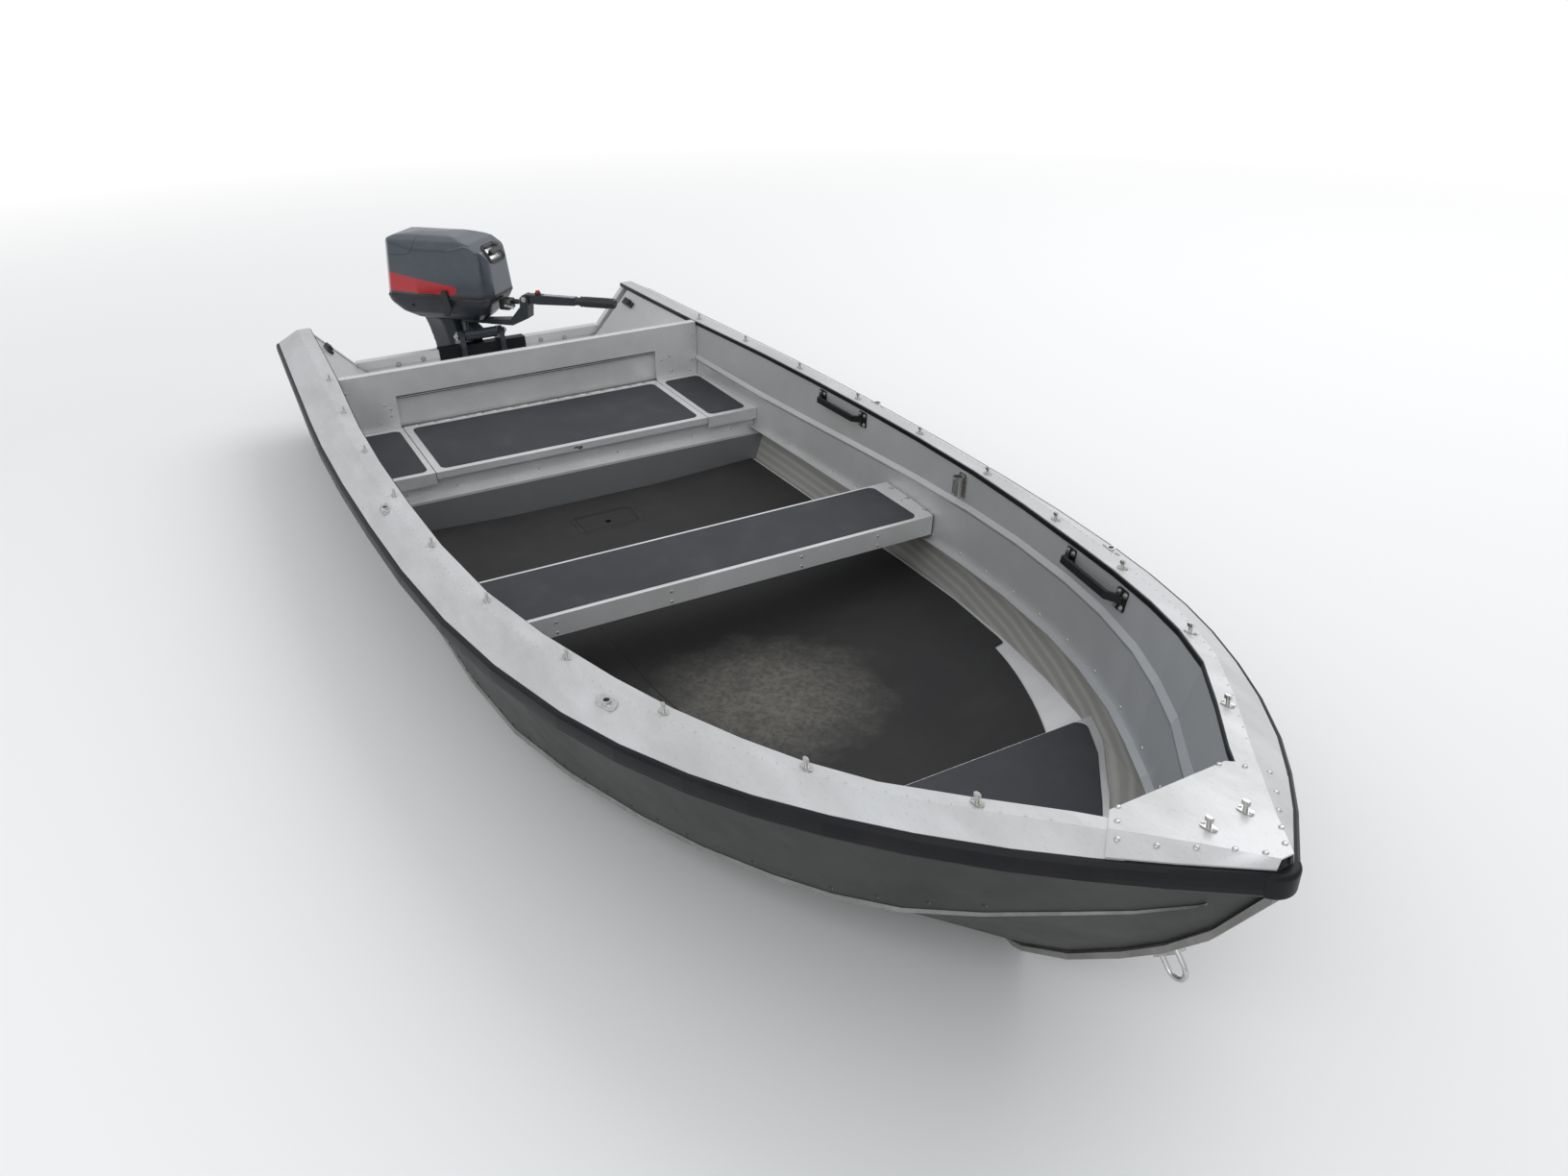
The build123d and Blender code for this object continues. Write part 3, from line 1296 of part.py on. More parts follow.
def cowling():
    """The domed cowling, open below, with the starter's recess in its front."""
    profile = [
        (COWL_REAR - 20, COWL_FOOT), (COWL_FRONT + 20, COWL_FOOT), (COWL_FRONT + 4, COWL_TOP - 150),
        (COWL_FRONT - 6, COWL_TOP - 110), (COWL_FRONT - 36, COWL_TOP - 62), (COWL_FRONT - 84, COWL_TOP - 34),
        (COWL_FRONT - 160, COWL_TOP - 12), (-50, COWL_TOP), (-190, COWL_TOP - 2),
        (COWL_REAR + 54, COWL_TOP - 12), (COWL_REAR + 14, COWL_TOP - 32),
    ]
    shoulder = [
        (-COWL_HALF - 20, COWL_FOOT), (COWL_HALF + 20, COWL_FOOT), (COWL_HALF + 4, COWL_TOP - 104),
        (COWL_HALF - 10, COWL_TOP - 58), (COWL_HALF - 34, COWL_TOP - 26), (COWL_HALF - 72, COWL_TOP - 8),
        (0, COWL_TOP + 2), (72 - COWL_HALF, COWL_TOP - 8), (34 - COWL_HALF, COWL_TOP - 26),
        (10 - COWL_HALF, COWL_TOP - 58), (-4 - COWL_HALF, COWL_TOP - 104),
    ]
    across = Plane(origin=MOTOR.origin, x_dir=MOTOR.y_dir, z_dir=ahead)
    with BuildPart() as body:
        add(cowl_plan(COWL_FOOT, 0.0))
        add(cowl_plan(COWL_TOP + 4.0, 16.0))
        loft()
        with BuildSketch(across):
            with BuildLine():
                Polyline(*shoulder, close=True)
            make_face()
        extrude(amount=2 * COWL_FRONT - 2 * COWL_REAR, both=True, mode=Mode.INTERSECT)
        with BuildSketch(MOTOR_SIDE):
            with BuildLine():
                Polyline(*profile, close=True)
            make_face()
        extrude(amount=2 * COWL_HALF, both=True, mode=Mode.INTERSECT)
        with BuildSketch(MOTOR.offset(COWL_FOOT)):
            with Locations(((COWL_REAR + COWL_FRONT) / 2 - 10.0, 0)):
                RectangleRounded(COWL_FRONT - COWL_REAR - 110.0, 2 * COWL_HALF - 80.0, 40.0)
        extrude(amount=COWL_TOP - COWL_FOOT - 80.0, mode=Mode.SUBTRACT)
        with BuildSketch(STARTER.offset(-STARTER_DEEP)):
            RectangleRounded(106.0, 62.0, 10.0)
        extrude(amount=60.0, mode=Mode.SUBTRACT)
    return body.part


def engine_block():
    """The powerhead, as one plain block inside the cowling."""
    with BuildPart() as body:
        with BuildSketch(MOTOR.offset(COWL_FOOT)):
            with Locations((-80.0, 0)):
                Rectangle(250.0, 170.0)
        extrude(amount=160.0)
    return body.part


def starter_handle():
    """The pull handle in the cowling's recess."""
    with BuildPart() as body:
        with BuildSketch(STARTER.offset(FIT - STARTER_DEEP)):
            RectangleRounded(26.0, 20.0, 6.0)
        extrude(amount=14.0)
        with BuildSketch(STARTER.offset(14.0 + FIT - STARTER_DEEP)):
            RectangleRounded(84.0, 20.0, 8.0)
        extrude(amount=12.0)
    return body.part


def pan_half(height):
    """The lower cowl's half-width at a height over its second section."""
    low, high = PAN_FOOT + 34.0, COWL_FOOT - 34.0
    start, end = 0.5 * (PAN_HALF + COWL_HALF), COWL_HALF - 14.0
    return start + (end - start) * (height - low) / (high - low)


def shift_lever():
    """The gear lever on the pan's starboard side."""
    boss_h, boss = 150.0, 8.0
    foot = pan_half(boss_h + boss) + FIT
    plate = COWL_HALF + 1.0
    with BuildPart() as body:
        with BuildSketch(MOTOR_SIDE.offset(foot)):
            with Locations((-24.0, boss_h)):
                Circle(boss)
        extrude(amount=plate - foot)
        with BuildSketch(MOTOR_SIDE.offset(plate)) as side:
            with BuildLine():
                Polyline((-36, 132), (-14, 126), (4, 164), (-12, 240), (-38, 238), (-22, 166), close=True)
            make_face()
            fillet(side.vertices(), 5.0)
        extrude(amount=10.0)
    return body.part


def leg():
    """The exhaust leg from the pan down to the plate."""
    table = (
        (PAN_FOOT - FIT, LEG_FRONT, -232.0, 64.0),
        (36.0, LEG_FRONT, -214.0, 44.0),
        (-40.0, LEG_FRONT, -196.0, 36.0),
        (-200.0, LEG_FRONT, -178.0, 30.0),
        (PLATE_H + 6.3, LEG_FRONT - 6.0, -184.0, 24.0),
    )
    with BuildPart() as body:
        for height, fore, rear, half in table:
            middle = fore - 0.4 * (fore - rear)
            port = [(fore, 0.55 * half), (fore - 16.0, 0.9 * half), (middle, half), (rear, 0.2 * half)]
            with BuildSketch(MOTOR.offset(height)):
                with BuildLine():
                    Polyline(*(port + [(x, -y) for x, y in reversed(port)]), close=True)
                make_face()
        loft(ruled=True)
    return body.part


def gearcase():
    """Anti-ventilation plate, strut, torpedo housing, skeg and propeller shaft."""
    axis = Plane(origin=MOTOR.origin + Vector(0, 0, SHAFT_H), x_dir=ahead, z_dir=(0, 0, 1))
    aft_face = PROP_X + HUB_LONG / 2 + 3.0
    with BuildPart() as body:
        with BuildSketch(MOTOR.offset(PLATE_H)):
            with BuildLine():
                Polyline((-20, 20), (-60, 52), (-160, 76), (-290, 76), (-318, 52), (-318, -52),
                         (-290, -76), (-160, -76), (-60, -52), (-20, -20), close=True)
            make_face()
        extrude(amount=6.0)
        with BuildSketch(MOTOR.offset(PLATE_H)):
            with Locations((-112.0, 0)):
                Ellipse(76.0, 24.0)
        with BuildSketch(MOTOR.offset(SHAFT_H + 20.0)):
            with Locations((-108.0, 0)):
                Ellipse(72.0, 22.0)
        loft()
        with BuildSketch(axis):
            with BuildLine():
                Polyline((aft_face, 0), (aft_face, 29), (-150, 35), (-70, 36), (-20, 30), (14, 17),
                         (28, 0), close=True)
            make_face()
        revolve(axis=Axis(axis.origin, ahead))
        with BuildSketch(MOTOR_SIDE):
            with BuildLine():
                Polyline((-40, SHAFT_H - 26), (-196, SHAFT_H - 26), (-200, SKEG_FOOT + 10),
                         (-186, SKEG_FOOT), (-140, SKEG_FOOT), (-92, SHAFT_H - 60), close=True)
            make_face()
        extrude(amount=4.0, both=True)
        with BuildSketch(Plane(origin=axis.origin + ahead * aft_face, z_dir=ahead * -1.0)):
            Circle(PROP_SHAFT)
        extrude(amount=HUB_LONG + 14.0)
    return body.part


def propeller():
    """Hub and swept, twisted blades."""
    axis_z = SHAFT_H
    hub_end = MOTOR.origin + ahead * (PROP_X - HUB_LONG / 2) + Vector(0, 0, axis_z)
    hub_aft = Plane(origin=hub_end, z_dir=ahead)
    blade_rows = (
        # radius, chord, thickness, pitch angle from the shaft's plane
        (HUB_RADIUS - 6.0, 52.0, 9.0, 58.0),
        (62.0, 82.0, 7.0, 38.0),
        (96.0, 84.0, 4.5, 27.0),
        (PROP_RADIUS, 30.0, 2.5, 23.0),
    )
    with BuildPart() as blade:
        for radius, chord, thick, pitch in blade_rows:
            face = Plane(
                origin=MOTOR.origin + ahead * PROP_X + Vector(0, 0, axis_z + radius),
                x_dir=MOTOR.y_dir * cos(radians(pitch)) + ahead * sin(radians(pitch)),
                z_dir=(0, 0, 1),
            )
            with BuildSketch(face):
                with BuildLine():
                    ThreePointArc((-chord / 2, 0), (0, thick / 2), (chord / 2, 0))
                    ThreePointArc((chord / 2, 0), (0, -thick / 2), (-chord / 2, 0))
                make_face()
        loft(ruled=True)
    spin = Axis(hub_aft.origin, ahead)
    with BuildPart() as body:
        with BuildSketch(hub_aft):
            Circle(HUB_RADIUS)
        extrude(amount=HUB_LONG)
        for i in range(PROP_BLADES):
            add(blade.part.rotate(spin, 360.0 * i / PROP_BLADES))
        with BuildSketch(hub_aft):
            Circle(PROP_SHAFT + RUNNING)
        extrude(amount=HUB_LONG, mode=Mode.SUBTRACT)
    return body.part


# Build and write every piece

BACK = BULKHEAD_X + 7.0
PIECES = {
    "hull_bottom": hull_bottom(),
    "hull_sides": both_sides(hull_side()),
    "stem_and_keel": stem_and_keel(),
    "chine_rails": both_sides(chine_rail()),
    "gunwales": both_sides(gunwale()),
    "gunwale_edging": both_sides(gunwale_edging()),
    "fender": fender(),
    "side_panels": both_sides(side_panel()),
    "transom": transom(),
    "transom_cap": both_sides(
        saddle(PAD_PLATE_HALF + 2.0, TRANSOM_HALF - 8.0, CAP_SHEET, CAP_DROP, CAP_DROP)
    ),
    "transom_pad": saddle(
        -PAD_PLATE_HALF, PAD_PLATE_HALF, PAD_PLATE, PAD_PLATE_INNER * 0.6, PAD_PLATE_OUTER
    ),
    "splash_well": splash_well(),
    "bulkhead": bulkhead(),
    "back_panel": back_panel(),
    "bench_frame": bench_frame(),
    "bench_lid": bench_lid(),
    "bench_lid_pad": pad(BACK + PAD_MARGIN, BENCH_FRONT - PAD_MARGIN, PAD_MARGIN - LID_HALF,
                         LID_HALF - PAD_MARGIN, BENCH_Z),
    "floor_plate": floor_plate(),
    "floor_mat": floor_mat(),
    "floor_hatch": floor_hatch(),
    "mid_thwart": mid_thwart(),
    "thwart_brackets": thwart_brackets(),
    "bow_seat": bow_seat(),
    "seat_pads": Compound(children=[
        pad(BACK + PAD_MARGIN, BENCH_FRONT - PAD_MARGIN, LID_HALF + 22.0, 690.0, BENCH_Z),
        pad(BACK + PAD_MARGIN, BENCH_FRONT - PAD_MARGIN, -690.0, -LID_HALF - 22.0, BENCH_Z),
        pad(THWART_AFT + 12.0, THWART_FRONT - 16.0, -655.0, 655.0, THWART_Z),
        bow_seat_pad(),
    ]),
    "bow_plate": bow_plate(),
    "turn_buttons": both_sides(turn_buttons()),
    "rowlock_sockets": both_sides(rowlock_sockets()),
    "grab_handles": both_sides(grab_handles()),
    "tube_holder": tube_holder(),
    "bow_eye": bow_eye(),
    "quarter_cleats": both_sides(quarter_cleats()),
    "clamp_bracket": clamp_bracket(),
    "clamp_screws": clamp_screws(),
    "swivel_bracket": swivel_bracket(),
    "steering_bracket": steering_bracket(),
    "engine_block": engine_block(),
    "lower_cowl": lower_cowl(),
    "cowling": cowling(),
    "starter_handle": starter_handle(),
    "shift_lever": shift_lever(),
    "leg": leg(),
    "gearcase": gearcase(),
    "propeller": propeller(),
    "tiller_arm": tiller_arm(),
    "tiller_grip": tiller_grip(),
}
for name, piece in PIECES.items():
    save(piece, name)
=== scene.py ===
import math

import bmesh
import bpy
from bpy.props import FloatProperty, FloatVectorProperty, PointerProperty
from bpy.types import Operator, Panel, PropertyGroup
from mathutils import Matrix, Vector


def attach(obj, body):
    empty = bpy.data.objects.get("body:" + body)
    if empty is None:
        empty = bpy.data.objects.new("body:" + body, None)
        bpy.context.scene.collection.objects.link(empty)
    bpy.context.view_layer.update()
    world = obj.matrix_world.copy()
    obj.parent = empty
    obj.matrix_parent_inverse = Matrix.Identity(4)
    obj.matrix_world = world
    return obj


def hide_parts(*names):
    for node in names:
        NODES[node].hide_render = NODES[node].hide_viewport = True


bl_info = {
    "name": "Aluminium fishing boat",
    "version": (1, 0, 0),
    "blender": (4, 5, 0),
    "location": "View3D > Sidebar > Boat",
    "description": "Finishes the packed boat: metals, pads, fittings, motor details and stage",
    "category": "Object",
}

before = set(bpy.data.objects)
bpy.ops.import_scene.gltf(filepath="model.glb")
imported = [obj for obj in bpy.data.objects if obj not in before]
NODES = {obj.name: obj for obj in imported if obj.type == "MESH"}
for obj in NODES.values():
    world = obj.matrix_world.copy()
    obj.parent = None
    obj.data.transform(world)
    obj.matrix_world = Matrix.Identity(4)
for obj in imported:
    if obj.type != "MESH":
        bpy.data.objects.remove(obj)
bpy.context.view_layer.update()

# The photograph's camera in the boat's frame, in metres. Its rows are right, down and forward.
PHOTO_WIDTH = 1632
FOCAL_PIXELS = 1226.0
SENSOR_MM = 36.0
EYE = Vector((5.114, -1.238, 1.811))
VIEW_ROWS = (
    (0.48037, 0.87693, -0.01542),
    (0.41769, -0.24420, -0.87516),
    (-0.77122, 0.41396, -0.48359),
)


# Helpers for meshes

def clear_selection():
    if bpy.context.object and bpy.context.object.mode != "OBJECT":
        bpy.ops.object.mode_set(mode="OBJECT")
    bpy.ops.object.select_all(action="DESELECT")


def only(obj):
    clear_selection()
    obj.select_set(True)
    bpy.context.view_layer.objects.active = obj


def settle(obj):
    """Leaves the object at the origin, unturned and unscaled, with its place in its mesh."""
    only(obj)
    bpy.ops.object.transform_apply(location=True, rotation=True, scale=True)
    return obj


def applied(obj, kind, **settings):
    """Adds one modifier and applies it."""
    only(obj)
    modifier = obj.modifiers.new(kind.title(), kind)
    for name, value in settings.items():
        setattr(modifier, name, value)
    bpy.ops.object.modifier_apply(modifier=modifier.name)
    return obj


def smooth(obj, degrees=35.0):
    only(obj)
    bpy.ops.object.shade_smooth_by_angle(angle=math.radians(degrees))
    return obj


def joined(parts, name):
    """One object from several."""
    clear_selection()
    for part in parts:
        part.select_set(True)
    bpy.context.view_layer.objects.active = parts[0]
    if len(parts) > 1:
        bpy.ops.object.join()
    parts[0].name = name
    parts[0].data.name = name
    return parts[0]


def cylinder(radius, depth, at=(0, 0, 0), turn=(0, 0, 0), sides=24):
    clear_selection()
    bpy.ops.mesh.primitive_cylinder_add(
        vertices=sides, radius=radius, depth=depth, location=at, rotation=turn
    )
    return settle(bpy.context.object)


def block(size, at=(0, 0, 0), turn=(0, 0, 0)):
    clear_selection()
    bpy.ops.mesh.primitive_cube_add(size=1.0, location=at, rotation=turn)
    bpy.context.object.scale = size
    return settle(bpy.context.object)


def pick_faces(obj, test):
    """Goes into edit mode with the faces selected that pass the test."""
    only(obj)
    bpy.ops.object.mode_set(mode="EDIT")
    bpy.ops.mesh.select_mode(type="FACE")
    bpy.ops.mesh.select_all(action="DESELECT")
    form = bmesh.from_edit_mesh(obj.data)
    for face in form.faces:
        face.select_set(test(face))
    bmesh.update_edit_mesh(obj.data)


def leave_edit(obj):
    bpy.ops.mesh.select_all(action="SELECT")
    bpy.ops.mesh.normals_make_consistent(inside=False)
    bpy.ops.object.mode_set(mode="OBJECT")
    return obj


def on_top(face):
    return face.normal.z > 0.99


def rounded(obj, width, segments=2):
    """Bevels every edge of a piece."""
    applied(obj, "BEVEL", width=width, segments=segments, limit_method="ANGLE", angle_limit=0.6)
    return smooth(obj, 40)


def rivet(radius):
    """A low domed head: a disc whose top is drawn up and in twice."""
    head = cylinder(radius, 0.3 * radius, at=(0, 0, 0.1 * radius), sides=12)
    for lift, share in ((0.22, 0.82), (0.12, 0.6)):
        pick_faces(head, on_top)
        bpy.ops.mesh.extrude_region_move(TRANSFORM_OT_translate={"value": (0, 0, lift * radius)})
        bpy.ops.transform.resize(value=(share, share, 1.0), center_override=(0, 0, 0))
        leave_edit(head)
    return smooth(head, 50)


def bolt(radius):
    """A hexagon head on a washer, with the end of its thread in the middle."""
    washer = cylinder(1.75 * radius, 0.3 * radius, at=(0, 0, 0.1 * radius), sides=20)
    head = cylinder(radius, 0.85 * radius, at=(0, 0, 0.65 * radius), sides=6)
    head = rounded(head, 0.1 * radius)
    pick_faces(head, on_top)
    bpy.ops.mesh.inset(thickness=0.35 * radius)
    bpy.ops.mesh.extrude_region_move(TRANSFORM_OT_translate={"value": (0, 0, 0.18 * radius)})
    leave_edit(head)
    return smooth(joined([washer, head], "Bolt"), 35)


def screw(radius):
    """A flat countersunk head with a cross in it."""
    head = cylinder(radius, 0.5 * radius, at=(0, 0, 0.05 * radius), sides=16)
    pick_faces(head, on_top)
    bpy.ops.mesh.inset(thickness=0.18 * radius)
    bpy.ops.transform.translate(value=(0, 0, 0.16 * radius))
    leave_edit(head)
    size = (1.1 * radius, 0.26 * radius, 0.1 * radius)
    bars = [
        block(size, at=(0, 0, 0.5 * radius), turn=(0, 0, turn))
        for turn in (0.4, 0.4 + math.pi / 2)
    ]
    return smooth(joined([head] + bars, "Screw"), 35)


def strip(name, line, width, height, sunk=0.0008, closed=False):
    """A flat trim along (point, normal) pairs, its foot sunk in the surface below it."""
    form = bmesh.new()
    rings = []
    count = len(line)
    for i, (point, normal) in enumerate(line):
        before = line[i - 1][0] if closed or i else point
        after = line[(i + 1) % count][0] if closed or i < count - 1 else point
        run = (after - before).normalized()
        side = run.cross(normal).normalized()
        up = side.cross(run).normalized()
        if up.dot(normal) < 0:
            up = -up
        half = side * (width / 2)
        corners = (half - up * sunk, half + up * height, up * height - half, -half - up * sunk)
        rings.append([form.verts.new(point + corner) for corner in corners])
    pairs = list(zip(rings, rings[1:])) + ([(rings[-1], rings[0])] if closed else [])
    for a, b in pairs:
        for k in range(4):
            form.faces.new((a[k], a[(k + 1) % 4], b[(k + 1) % 4], b[k]))
    if not closed:
        form.faces.new(rings[0])
        form.faces.new(rings[-1])
    bmesh.ops.recalc_face_normals(form, faces=form.faces)
    mesh = bpy.data.meshes.new(name)
    form.to_mesh(mesh)
    form.free()
    obj = bpy.data.objects.new(name, mesh)
    bpy.context.scene.collection.objects.link(obj)
    return obj


def placed_copies(pattern, places, name):
    """A pattern copied to each place, each copy with its own mesh, as one object."""
    parts = []
    for place in places:
        part = pattern.copy()
        part.data = pattern.data.copy()
        part.data.transform(place)
        bpy.context.scene.collection.objects.link(part)
        parts.append(part)
    bpy.data.objects.remove(pattern)
    return joined(parts, name)


def facing(point, normal, along=(1, 0, 0)):
    """A place with its z on a normal and its x along the boat."""
    up = Vector(normal).normalized()
    ahead = Vector(along)
    ahead = (ahead - up * ahead.dot(up)).normalized()
    side = up.cross(ahead)
    turn = Matrix((ahead, side, up)).transposed().to_4x4()
    return Matrix.Translation(point) @ turn


def hit(targets, start, direction):
    """Where a ray first meets some CAD nodes or a skin, with the surface's normal."""
    if not isinstance(targets, (tuple, list)):
        targets = (targets,)
    start, direction = Vector(start), Vector(direction).normalized()
    found = []
    for target in targets:
        obj = NODES[target] if isinstance(target, str) else target
        ok, point, normal, _ = obj.ray_cast(start, direction)
        if ok:
            found.append(((point - start).length, point, normal))
    if not found:
        raise RuntimeError("no surface of " + str(targets) + " at " + str(tuple(start)))
    _, point, normal = min(found, key=lambda row: row[0])
    return point, normal


def seat(point, normal, direction, along=(1, 0, 0)):
    """A place on a surface whose normal is turned against the ray that found it."""
    if normal.dot(Vector(direction)) > 0:
        normal = -normal
    return facing(point, normal, along)


def spots(targets, starts, direction, along=(1, 0, 0)):
    """Places where rays of one direction meet some CAD nodes."""
    return [seat(*hit(targets, start, direction), direction, along) for start in starts]


def shares(first, last, count):
    """Evenly spaced values from first to last."""
    return [first + (last - first) * i / (count - 1) for i in range(count)]


def circle(count):
    """The cosine and sine of evenly spaced turns."""
    turns = [2 * math.pi * i / count for i in range(count)]
    return [(math.cos(turn), math.sin(turn)) for turn in turns]


def round_corners(half_x, half_y, power, count):
    """Points round a rectangle with round corners; a lower power gives tighter ones."""
    return [
        (half_x * math.copysign(abs(c) ** power, c), half_y * math.copysign(abs(s) ** power, s))
        for c, s in circle(count)
    ]


def deck_place(x, y, side):
    """A place on the gunwale's top."""
    point, normal = hit("gunwales", (x, side * y, 2.0), (0, 0, -1))
    return facing(point, normal)


# The stations of the hull, where its long pieces have their outlines.
STATIONS = (
    0.0, 0.433, 0.763, 1.040, 1.301, 1.647, 1.998, 2.324, 2.649, 2.926, 3.199, 3.381, 3.555, 3.685,
    3.815, 3.941, 4.062, 4.149,
)


def rail(node, axis):
    """A node's port outline: the lowest and highest y or z at each station it reaches."""
    corners = [vertex.co for vertex in NODES[node].data.vertices if vertex.co.y > 0.0]
    rows = []
    for x in STATIONS:
        near = [corner[axis] for corner in corners if abs(corner.x - x) < 0.001]
        if len(near) > 3:
            rows.append((x, min(near), max(near)))
    return rows


def across(line, x, share):
    """The y or z at x that lies a share of the way from a rail's low edge to its high edge."""
    for low, high in zip(line, line[1:]):
        if x <= high[0]:
            break
    part = (x - low[0]) / (high[0] - low[0])
    near, far = (low[i] + part * (high[i] - low[i]) for i in (1, 2))
    return near + share * (far - near)


GUNWALE = rail("gunwales", 1)
PANEL_RISE = rail("side_panels", 2)
SIDE_RISE = rail("hull_sides", 2)
CREASE = 0.38  # share of the gunwale's width at its fold

# Radii of the small rivets and bolts, and the places of the rowlock sockets as (x, y).
SMALL_RIVET = 0.0042
SMALL_BOLT = 0.0045
ROWLOCKS = ((1.988, 0.804), (3.270, 0.645))

# The motor's own frame: its steering axis, then ahead, starboard and up.
HALF_ROOT = math.sqrt(0.5)
MOTOR_ORIGIN = Vector((-0.084863, 0.0, 0.272))
AHEAD = Vector((HALF_ROOT, HALF_ROOT, 0.0))
STARBOARD = Vector((HALF_ROOT, -HALF_ROOT, 0.0))
UP = Vector((0.0, 0.0, 1.0))
COWL_MIDDLE = -0.077
STARTER_SPOT = (0.160, 0.384)
STARTER_FACE = (AHEAD * 0.80 + UP * 0.70).normalized()
STARTER_HALF = (0.060, 0.037)
GRIP_HEIGHT = 0.188
SWITCH_AHEAD = 0.344
EIGHTH = math.pi / 4
ACROSS_MOTOR = (0, math.pi / 2, EIGHTH)


def motor_point(a, s, h):
    return MOTOR_ORIGIN + AHEAD * a + STARBOARD * s + UP * h


def skin(node_name, voxel, rounds):
    """A rounded copy of a CAD node that is then shown in its place."""
    obj = bpy.data.objects.new(node_name + "_skin", NODES[node_name].data.copy())
    bpy.context.scene.collection.objects.link(obj)
    only(obj)
    bpy.ops.object.mode_set(mode="EDIT")
    bpy.ops.mesh.select_all(action="SELECT")
    bpy.ops.mesh.remove_doubles(threshold=0.0001)
    leave_edit(obj)
    applied(obj, "REMESH", mode="VOXEL", voxel_size=voxel)
    applied(obj, "SMOOTH", factor=0.5, iterations=rounds)
    only(obj)
    bpy.ops.object.shade_smooth()
    return obj


# Shader groups and materials

def new_group(name, inputs, outputs):
    """An empty shader group with named sockets; inputs are (name, kind, default)."""
    tree = bpy.data.node_groups.new(name, "ShaderNodeTree")
    for socket, kind, default in inputs:
        made = tree.interface.new_socket(name=socket, in_out="INPUT", socket_type=kind)
        made.default_value = default
    for socket, kind in outputs:
        tree.interface.new_socket(name=socket, in_out="OUTPUT", socket_type=kind)
    return tree, tree.nodes.new("NodeGroupInput"), tree.nodes.new("NodeGroupOutput")


def add(tree, kind, inputs=(), **settings):
    """A shader node with its settings and its inputs, each a socket or a value."""
    made = tree.nodes.new("ShaderNode" + kind)
    for name, value in settings.items():
        setattr(made, name, value)
    for name, value in inputs:
        if hasattr(value, "is_output"):
            tree.links.new(value, made.inputs[name])
        else:
            made.inputs[name].default_value = value
    return made


def mix_colour(tree, factor, first, second):
    """Mixes two colours; each of the three may be a socket or a value."""
    inputs = ((0, factor), (6, first), (7, second))
    return add(tree, "Mix", inputs, data_type="RGBA").outputs[2]


def calculate(tree, operation, first, second=0.0, clamp=False):
    inputs = ((0, first), (1, second))
    return add(tree, "Math", inputs, operation=operation, use_clamp=clamp).outputs[0]


def times(tree, first, second):
    return calculate(tree, "MULTIPLY", first, second)


def plus(tree, first, second):
    return calculate(tree, "ADD", first, second)


def minus(tree, first, second):
    return calculate(tree, "SUBTRACT", first, second)


def below(tree, first, second):
    return calculate(tree, "LESS_THAN", first, second)


def above(tree, first, second):
    return calculate(tree, "GREATER_THAN", first, second)


def scaled(tree, vector, scale):
    return add(tree, "Mapping", (("Scale", scale), ("Vector", vector))).outputs[0]


def noise(tree, vector, scale, detail, rough):
    """A noise value on a vector."""
    inputs = (("Detail", detail), ("Roughness", rough), ("Scale", scale), ("Vector", vector))
    return add(tree, "TexNoise", inputs).outputs["Fac"]


def ramp(tree, value, low, high):
    """A value spread from low..high to 0..1."""
    inputs = (("From Min", low), ("From Max", high), ("Value", value))
    return add(tree, "MapRange", inputs, clamp=True).outputs[0]


def build_grime():
    """Cloudy dirt, light wear and small specks, as a colour, a roughness and a height."""
    number, colour = "NodeSocketFloat", "NodeSocketColor"
    tree, entry, exit_ = new_group(
        "Worn surface",
        [
            ("Vector", "NodeSocketVector", (0, 0, 0)),
            ("Colour", colour, (0.6, 0.6, 0.6, 1)),
            ("Dirt colour", colour, (0.3, 0.27, 0.23, 1)),
            ("Light colour", colour, (0.8, 0.8, 0.8, 1)),
            ("Cloud scale", number, 3.0),
            ("Cloud amount", number, 0.4),
            ("Speck scale", number, 160.0),
            ("Speck amount", number, 0.3),
            ("Light amount", number, 0.3),
            ("Roughness low", number, 0.35),
            ("Roughness high", number, 0.6),
        ],
        [("Colour", colour), ("Roughness", number), ("Height", number)],
    )
    given = entry.outputs
    cloud = ramp(tree, noise(tree, given["Vector"], given["Cloud scale"], 6.0, 0.62), 0.42, 0.72)
    speck = ramp(tree, noise(tree, given["Vector"], given["Speck scale"], 2.0, 0.6), 0.58, 0.74)
    wide = times(tree, given["Cloud scale"], 2.7)
    light = ramp(tree, noise(tree, given["Vector"], wide, 5.0, 0.6), 0.5, 0.75)
    dirt = times(tree, cloud, given["Cloud amount"])
    pale = times(tree, light, given["Light amount"])
    dots = times(tree, speck, given["Speck amount"])
    base = mix_colour(tree, pale, given["Colour"], given["Light colour"])
    base = mix_colour(tree, dirt, base, given["Dirt colour"])
    base = mix_colour(tree, dots, base, given["Dirt colour"])
    blend = calculate(tree, "ADD", dirt, times(tree, light, 0.35), clamp=True)
    span = minus(tree, given["Roughness high"], given["Roughness low"])
    rough = plus(tree, given["Roughness low"], times(tree, span, blend))
    height = minus(tree, speck, times(tree, cloud, 0.5))
    for name, value in (("Colour", base), ("Roughness", rough), ("Height", height)):
        tree.links.new(value, exit_.inputs[name])
    return tree


def build_grain():
    """Fine lines left by rolling, along the boat."""
    tree, entry, exit_ = new_group(
        "Rolled grain",
        [("Vector", "NodeSocketVector", (0, 0, 0)), ("Scale", "NodeSocketFloat", 300.0)],
        [("Height", "NodeSocketFloat")],
    )
    drawn = scaled(tree, entry.outputs["Vector"], (0.05, 1.0, 1.0))
    fine = noise(tree, drawn, entry.outputs["Scale"], 3.0, 0.6)
    tree.links.new(fine, exit_.inputs["Height"])
    return tree


GRIME = build_grime()
GRAIN = build_grain()

